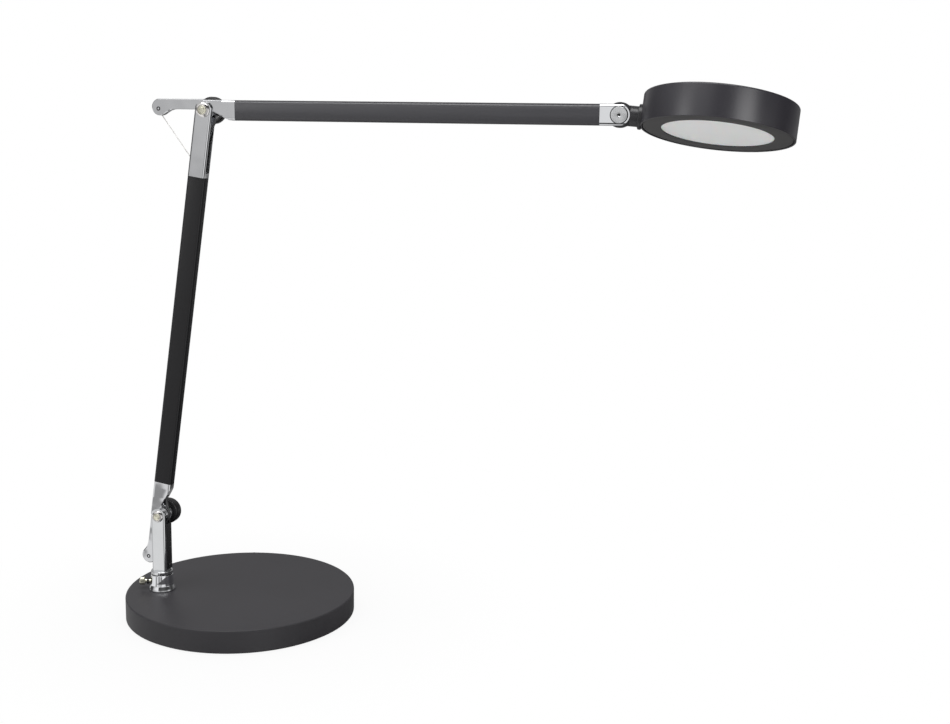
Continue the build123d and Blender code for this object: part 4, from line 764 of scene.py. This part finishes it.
@dataclass
class UpperArm:
    """Upper tube, its casting, the head fitting and the disc of its screw."""

    shop: Workshop
    face: float = -4.75

    def build(self) -> None:
        """Dresses the upper arm's pieces."""
        self.shop.dress("upper_arm", {"upper_casting": ("upper_casting", 0.5),
                                      "upper_tube": ("upper_tube", 0.15), "head_fitting": ("mirror", 0.5)})
        self.shop.paint({"elbow_washers": "washer", "upper_tail_pin": "steel", "upper_spring": "wire",
                         "upper_spring_pin": "steel", "head_pivot_nut": "steel", "upper_tube_lead": "rubber"})
        pin_shade_ring_and_end(self.shop, "upper_tail", UPPER_FRAME, UPPER_PIN, "upper_arm")
        self.disc()

    def disc(self) -> None:
        """Turns the wide disc head of the head joint's screw, with a black ring of painted shade on its rim and
        a black disc of painted shade in its dimple.
        """
        face = self.face
        spindle = HEAD_JOINT @ ACROSS
        disc = [(0.0, face - 0.7, 0), (0.9, face - 0.7, 0.2), (1.6, face - 1.35, 0.2), (2.3, face - 1.5, 0.2),
                (7.1, face - 1.5, 0.3), (7.7, face - 1.1, 0.3), (8.0, face - 0.6, 0.2), (8.0, face, 0.1),
                (2.5, face, 0), (2.5, 12.4, 0.3), (0.0, 12.4, 0)]
        self.shop.turned("head_joint_disc", "spun", "upper_arm", disc, spindle, steps=4,
                         nodes=("head_pivot_screw",))
        # Painted shade: a black ring over the disc's bevelled rim, standing in for the shade of the gap round
        # the disc.
        edge = [(7.4, face - 1.0, 0), (7.4, face - 1.6, 0.1), (8.0, face - 1.4, 0.2), (8.0, face - 0.5, 0),
                (7.4, face - 0.5, 0), (7.4, face - 1.0, 0)]
        self.shop.turned("head_joint_disc_painted_shade_ring", "knob", "upper_arm", edge, spindle, steps=3)
        # Painted shade: a black disc laid in the recessed centre, where the dimple falls in shade.
        dimple = [(0.0, face - 0.8, 0), (0.9, face - 0.8, 0.1), (1.3, face - 1.1, 0)]
        self.shop.turned("head_joint_dimple_painted_shade", "knob", "upper_arm", dimple, spindle, 32, 3)


@dataclass
class Knuckle:
    """Black knuckle between the arm and the head."""

    shop: Workshop

    def build(self) -> None:
        """Dresses the knuckle's pieces."""
        self.shop.dress("knuckle", {"knuckle": ("knuckle", 0.4)})
        self.shop.paint({"neck_clip": "steel", "knuckle_lead": "rubber"})


@dataclass
class Head:
    """Round head with its ring, window and button."""

    shop: Workshop
    offset: float = 86.0
    radius: float = 66.9
    bottom: float = -9.0
    height: float = 28.3
    wall: float = 1.6
    roof: float = 1.8
    button_offset: float = 36.0

    @property
    def place(self) -> Matrix:
        """Frame on the head's own axis."""
        return HEAD_FRAME @ Matrix.Translation((mm(self.offset), 0.0, 0.0))

    def build(self) -> None:
        """Builds the head's pieces and paints what lies inside."""
        self.housing()
        self.ring()
        self.window()
        self.button()
        self.shop.dress("head", {"head_collar": ("knuckle", 0.3)})
        self.shop.paint({"heat_spreader": "plate", "led_board": "board", "led_chips": "chip",
                         "head_screws": "steel", "switch_module": "strip"})

    def housing(self) -> None:
        """Turns the housing with its soft top edge and thin lower rim."""
        top = self.bottom + self.height
        inner = self.radius - self.wall
        corners = [(0.0, top, 0), (self.radius, top, 1.6), (self.radius, self.bottom, 0.35),
                   (inner, self.bottom, 0.35), (inner, top - self.roof, 1.0), (0.0, top - self.roof, 0)]
        self.shop.turned("head_housing", "head", "head", corners, self.place, segments=192, steps=8,
                         nodes=("head_shell",))

    def ring(self) -> None:
        """Turns the flat ring round the window."""
        low = self.bottom + 0.5
        corners = [(65.2, low + 1.2, 0), (64.4, low, 0.4), (48.5, low, 0.3), (48.5, low + 0.8, 0),
                   (50.3, low + 0.8, 0), (50.3, low + 1.8, 0), (65.2, low + 1.8, 0), (65.2, low + 1.2, 0)]
        self.shop.turned("window_ring", "bezel", "head", corners, self.place, segments=192, steps=5,
                         nodes=("bezel",))

    def window(self) -> None:
        """Turns the opal window."""
        low = self.bottom + 1.3
        corners = [(0.0, low, 0), (49.7, low, 0.4), (50.2, low + 0.5, 0), (50.2, low + 2.0, 0),
                   (0.0, low + 2.0, 0)]
        self.shop.turned("opal_disc", "opal", "head", corners, self.place, segments=160, steps=4,
                         nodes=("diffuser",))

    def button(self) -> None:
        """Turns the push button on the head's top."""
        top = self.bottom + self.height
        under = top - self.roof
        place = HEAD_FRAME @ Matrix.Translation((mm(self.button_offset), 0.0, 0.0))
        corners = [(0.0, top + 0.9, 0), (3.8, top + 0.95, 1.5), (5.0, top + 1.2, 0.5), (6.0, top + 1.2, 0.6),
                   (6.0, under - 0.3, 0), (7.4, under - 0.3, 0.2), (7.4, under - 1.6, 0.2),
                   (2.0, under - 1.6, 0), (2.0, under - 4.6, 0), (0.0, under - 4.6, 0)]
        self.shop.turned("button_cap", "knob", "dimmer_button", corners, place, segments=64, steps=5,
                         nodes=("dimmer_button",))


@dataclass
class JointLines:
    """Wires and leads that cross the arms' joints."""

    shop: Workshop
    lead_radius: float = 1.25
    lead_offset: float = -4.8
    wire_ease: float = 3.0
    joint_reach: float = 5.0
    joint_depth: float = 3.2

    def build(self) -> None:
        """Makes the crossing wires and leads."""
        self.elbow_lead()
        self.lower_lead()
        self.wires()
        self.head_lead()

    def elbow_lead(self) -> None:
        """Bends the lead out of the fork's slot and into the upper casting."""
        z = self.lead_offset
        elbow = ((-46.0, z), (-37.0, z), (-27.0, z), (-17.0, -7.6), (-10.0, -11.0), (-2.0, -12.5))
        upper = ((11.0, -9.2), (14.0, z - 0.4), (18.0, z), (21.0, z))
        points = [spot(ELBOW_FRAME, *pair) for pair in elbow] + [spot(UPPER_FRAME, *pair) for pair in upper]
        piece = self.shop.cable("elbow_lead", points, self.lead_radius, "rubber")
        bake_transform(piece)
        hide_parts("elbow_lead_loop")

    def lower_lead(self) -> None:
        """Bends the lead out of the post's slot and into the lower casting."""
        post = ((4.0, -20.0), (4.0, -14.0), (4.6, -9.5), (7.4, -5.0), (9.3, 0.0), (9.0, 6.0))
        arm = ((along, self.lead_offset) for along in (15.0, 20.0, 24.0))
        points = [spot(PIVOT_FRAME, *pair) for pair in post] + [spot(LOWER_FRAME, *pair) for pair in arm]
        piece = self.shop.cable("lower_lead", points, self.lead_radius, "rubber")
        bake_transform(piece)
        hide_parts("lower_lead_loop")

    def between(self, node: str, finish: str) -> None:
        """Puts a dressed copy of a node in its place on no body, and hides the node.

        Args:
            node: The node's name.
            finish: Key of its finish.
        """
        piece = self.shop.finish(self.shop.merged(node), f"{node}_dressed", finish, "")
        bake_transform(piece)
        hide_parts(node)

    def wires(self) -> None:
        """Puts dressed copies of the balance wires, which run from anchor to tail pin, in their places."""
        strung = (("upper_balance_wire", ("lower_arm", "upper_arm"), spot(ELBOW_FRAME, *UPPER_ANCHOR),
                   spot(UPPER_FRAME, *UPPER_PIN)),
                  ("lower_balance_wire", ("post", "lower_arm"), spot(PIVOT_FRAME, *LOWER_ANCHOR),
                   spot(LOWER_FRAME, *LOWER_PIN)))
        for node, bodies, low, high in strung:
            self.between(node, "wire")

    def head_lead(self) -> None:
        """Puts a dressed copy of the lead that runs round the head joint, inside the knuckle, in its place."""
        self.between("joint_lead", "rubber")


# ---- studio
@dataclass
class Studio:
    """Floor, surroundings, lights and the photograph's camera.

    The metal mirrors rings of grey, one above the other: table, skirt, walls, sky and zenith. Each holds its
    levels by direction in degrees about Z, and passages holds the heights, as sines, between which one goes
    over into the next.
    """

    eye: Triple = (0.52081, -1.17365, 0.49198)
    right: Triple = (0.97187, 0.23474, 0.01898)
    up: Triple = (-0.05989, 0.16838, 0.98390)
    back: Triple = (0.22776, -0.95736, 0.17770)
    lens: float = 48.97
    sensor: float = 36.0
    clip: Pair = (0.01, 50.0)
    floor_reach: float = 6.0
    floor_drop: float = 0.0002
    floor_grey: float = 0.6
    floor_fade: Pair = (0.1, 0.32)
    floor_white: float = 0.9
    ambient: Pair = (0.16, 1.0)
    ambient_passage: Pair = (-0.1, 0.9)
    passages: Pairs = ((-0.285, -0.262), (-0.09, -0.02), (0.14, 0.28), (0.75, 0.88))
    zenith: Pairs = ((0.0, 1.0), (30.0, 0.9), (62.0, 0.06), (145.0, 0.06), (175.0, 0.9), (190.0, 1.0))
    sky: Pairs = ((0.0, 0.05), (60.0, 0.1), (82.0, 0.6), (90.0, 0.42), (116.0, 0.42), (124.0, 0.6),
                  (150.0, 0.3), (190.0, 0.6), (235.0, 0.9), (257.0, 0.95), (263.0, 0.06), (300.0, 0.1),
                  (340.0, 0.05))
    walls: Pairs = ((0.0, 0.3), (20.0, 0.04), (82.0, 0.3), (88.0, 0.03), (118.0, 0.03), (124.0, 0.6),
                    (150.0, 0.06), (200.0, 0.06), (216.0, 0.4), (240.0, 0.58), (249.0, 0.7), (263.0, 0.8),
                    (280.0, 0.45), (298.0, 0.9), (322.0, 0.6), (335.0, 0.3), (347.0, 0.7))
    skirt: Pairs = ((0.0, 0.02), (20.0, 0.03), (32.0, 0.55), (60.0, 0.55), (72.0, 0.05), (100.0, 0.3),
                    (120.0, 0.1), (132.0, 0.75), (196.0, 0.85), (224.0, 0.9), (231.0, 0.36), (245.0, 0.36),
                    (248.5, 0.95), (256.0, 0.95), (261.0, 0.04), (272.0, 0.5), (282.0, 0.5), (290.0, 0.08),
                    (302.0, 1.0), (328.0, 1.0), (336.0, 0.5), (345.0, 0.03))
    table: Pairs = ((0.0, 0.01), (60.0, 0.05), (110.0, 0.3), (150.0, 0.5), (200.0, 0.6), (222.0, 0.9),
                    (246.0, 0.9), (254.0, 0.5), (260.0, 0.03), (268.0, 0.5), (280.0, 0.5), (290.0, 0.06),
                    (302.0, 1.0), (328.0, 1.0), (336.0, 0.5), (344.0, 0.02))
    shaded: list[bpy.types.Object] = field(default_factory=list)

    def build(self) -> None:
        """Sets the stage, the lights and the camera."""
        self.floor()
        self.world()
        self.lamps()
        self.camera()
        bpy.context.scene.view_settings.view_transform = "Standard"

    def floor(self) -> None:
        """Lays a white floor that keeps a trace of the lamp's shadow."""
        shape = bmesh.new()
        bmesh.ops.create_grid(shape, x_segments=1, y_segments=1, size=self.floor_reach)
        mesh = bpy.data.meshes.new("floor")
        shape.to_mesh(mesh)
        shape.free()
        floor = bpy.data.objects.new("floor", mesh)
        floor.location = (0.0, 0.0, -self.floor_drop)
        bpy.context.scene.collection.objects.link(floor)
        material = bpy.data.materials.new("white_floor")
        material.use_nodes = True
        material.node_tree.nodes.clear()
        wiring = Wiring(material.node_tree)
        matt = wiring.add("BsdfDiffuse", {"Color": (*(self.floor_grey,) * 3, 1.0)})[0]
        white = wiring.add("Emission", {"Strength": 1.0})[0]
        place = wiring.add("TexCoord", {})["Object"]
        reach = wiring.add("VectorMath", {0: place}, operation="LENGTH")["Value"]
        near, far = self.floor_fade
        fade = wiring.add("MapRange", {"Value": reach, "From Min": near, "From Max": far,
                                       "To Min": self.floor_white}, interpolation_type="SMOOTHSTEP")["Result"]
        share = wiring.number("MULTIPLY", fade, self.rays(wiring, "Camera", "Glossy", "Transmission"))
        mix = wiring.add("MixShader", {"Fac": share, 1: matt, 2: white})[0]
        wiring.add("OutputMaterial", {"Surface": mix})
        mesh.materials.append(material)
        floor.visible_glossy = False

    @staticmethod
    def rays(wiring: Wiring, *kinds: str) -> Socket:
        """Tells some kinds of ray from the rest.

        Args:
            wiring: The tree's wiring.
            kinds: The kinds of ray.

        Returns:
            The socket that gives 1 for those rays and 0 for the rest.
        """
        path = wiring.add("LightPath", {})
        found = path[f"Is {kinds[0]} Ray"]
        for kind in kinds[1:]:
            found = wiring.number("MAXIMUM", found, path[f"Is {kind} Ray"])
        return found

    @staticmethod
    def ramp(wiring: Wiring, source: Socket, stops: Pairs) -> Socket:
        """Gives levels of grey along a number.

        Args:
            wiring: The tree's wiring.
            source: The number, from 0 to 1.
            stops: Places in degrees of a full turn, each with its level.

        Returns:
            The socket with the level.
        """
        level_of = wiring.add("ValToRGB", {"Fac": source})["Color"]
        ramp = level_of.node.color_ramp
        ramp.interpolation = "EASE"
        while len(ramp.elements) < len(stops):
            ramp.elements.new(0.5)
        for element, (degrees, level) in zip(ramp.elements, stops):
            element.position = degrees / 360.0
            element.color = (level, level, level, 1.0)
        return level_of

    @staticmethod
    def passage(wiring: Wiring, height: Socket, limits: Pair, low: Socket | float,
                high: Socket | float) -> Socket:
        """Passes from one level to another between two heights of the direction looked in."""
        share = wiring.add("MapRange", {"Value": height, "From Min": limits[0], "From Max": limits[1]},
                           interpolation_type="SMOOTHSTEP")["Result"]
        return wiring.add("Mix", {"Factor": share, "A": low, "B": high})["Result"]

    def world(self) -> None:
        """Lights the room from above, with pale walls and dark flags for the metal, white to the camera."""
        world = bpy.data.worlds.new("studio")
        world.use_nodes = True
        bpy.context.scene.world = world
        world.node_tree.nodes.clear()
        wiring = Wiring(world.node_tree)
        parts = wiring.add("SeparateXYZ", {0: wiring.add("TexCoord", {})["Generated"]})
        turns = wiring.number("MULTIPLY", wiring.number("ARCTAN2", parts["Y"], parts["X"]), 1.0 / math.tau)
        whole = wiring.number("FRACT", turns)
        mirrored = self.ramp(wiring, whole, self.table)
        for stops, limits in zip((self.skirt, self.walls, self.sky, self.zenith), self.passages):
            mirrored = self.passage(wiring, parts["Z"], limits, mirrored, self.ramp(wiring, whole, stops))
        soft = self.passage(wiring, parts["Z"], self.ambient_passage, *self.ambient)
        rest, gloss, white = (wiring.add("Background", {"Color": colour})[0]
                              for colour in (soft, mirrored, (1.0, 1.0, 1.0, 1.0)))
        room = wiring.add("MixShader", {"Fac": self.rays(wiring, "Glossy"), 1: rest, 2: gloss})[0]
        seen = self.rays(wiring, "Camera", "Transmission")
        wiring.add("OutputWorld", {"Surface": wiring.add("MixShader", {"Fac": seen, 1: room, 2: white})[0]})

    @staticmethod
    def softbox(name: str, place: Triple, aim: Triple, size: Pair, power: float) -> bpy.types.Object:
        """Hangs a soft lamp.

        Args:
            name: The lamp's name.
            place: Where it hangs.
            aim: The point that it looks at.
            size: Width and height in metres.
            power: Power in watts.

        Returns:
            The lamp.
        """
        data = bpy.data.lights.new(name, "AREA")
        data.shape = "RECTANGLE"
        data.size, data.size_y = size
        data.energy = power
        light = bpy.data.objects.new(name, data)
        light.location = place
        light.rotation_euler = (Vector(aim) - Vector(place)).to_track_quat("-Z", "Y").to_euler()
        bpy.context.scene.collection.objects.link(light)
        return light

    def lamps(self) -> None:
        """Hangs one large overhead lamp, and two side lamps that leave out the metal and the base."""
        lit = bpy.data.collections.new("lit_by_side_lamps")
        for piece in self.shaded:
            lit.objects.link(piece)
        for entry in lit.collection_objects:
            entry.light_linking.link_state = "EXCLUDE"
        self.softbox("overhead", (0.1, -0.5, 1.9), (0.1, 0.0, 0.2), (1.8, 0.9), 19.0)
        sides = (self.softbox("left_front", (-1.1, -1.3, 0.9), (0.1, 0.0, 0.5), (0.55, 1.0), 6.0),
                 self.softbox("right_front", (1.5, -1.2, 0.8), (0.4, 0.0, 0.5), (0.7, 1.0), 9.5))
        for lamp in sides:
            lamp.light_linking.receiver_collection = lit

    def camera(self) -> None:
        """Puts the camera where the photograph was taken from."""
        data = bpy.data.cameras.new("photo_camera")
        data.lens = self.lens
        data.sensor_width = self.sensor
        data.clip_start, data.clip_end = self.clip
        camera = bpy.data.objects.new("photo_camera", data)
        turn = Matrix((self.right, self.up, self.back)).transposed()
        camera.matrix_world = Matrix.Translation(self.eye) @ turn.to_4x4()
        bpy.context.scene.collection.objects.link(camera)
        bpy.context.scene.camera = camera


def main() -> None:
    """Builds the lamp and the studio in order."""
    logging.basicConfig(level=logging.INFO, format="%(name)s: %(message)s")
    shop = Workshop(Finishes())
    for section in (Base(shop), Post(shop), LowerArm(shop), UpperArm(shop), Knuckle(shop), Head(shop),
                    JointLines(shop)):
        section.build()
        LOG.info("%s done", type(section).__name__)
    Studio(shaded=shop.shaded).build()
    LOG.info("%d pieces made", shop.count)
    bpy.context.view_layer.update()


if __name__ == "__main__":
    main()
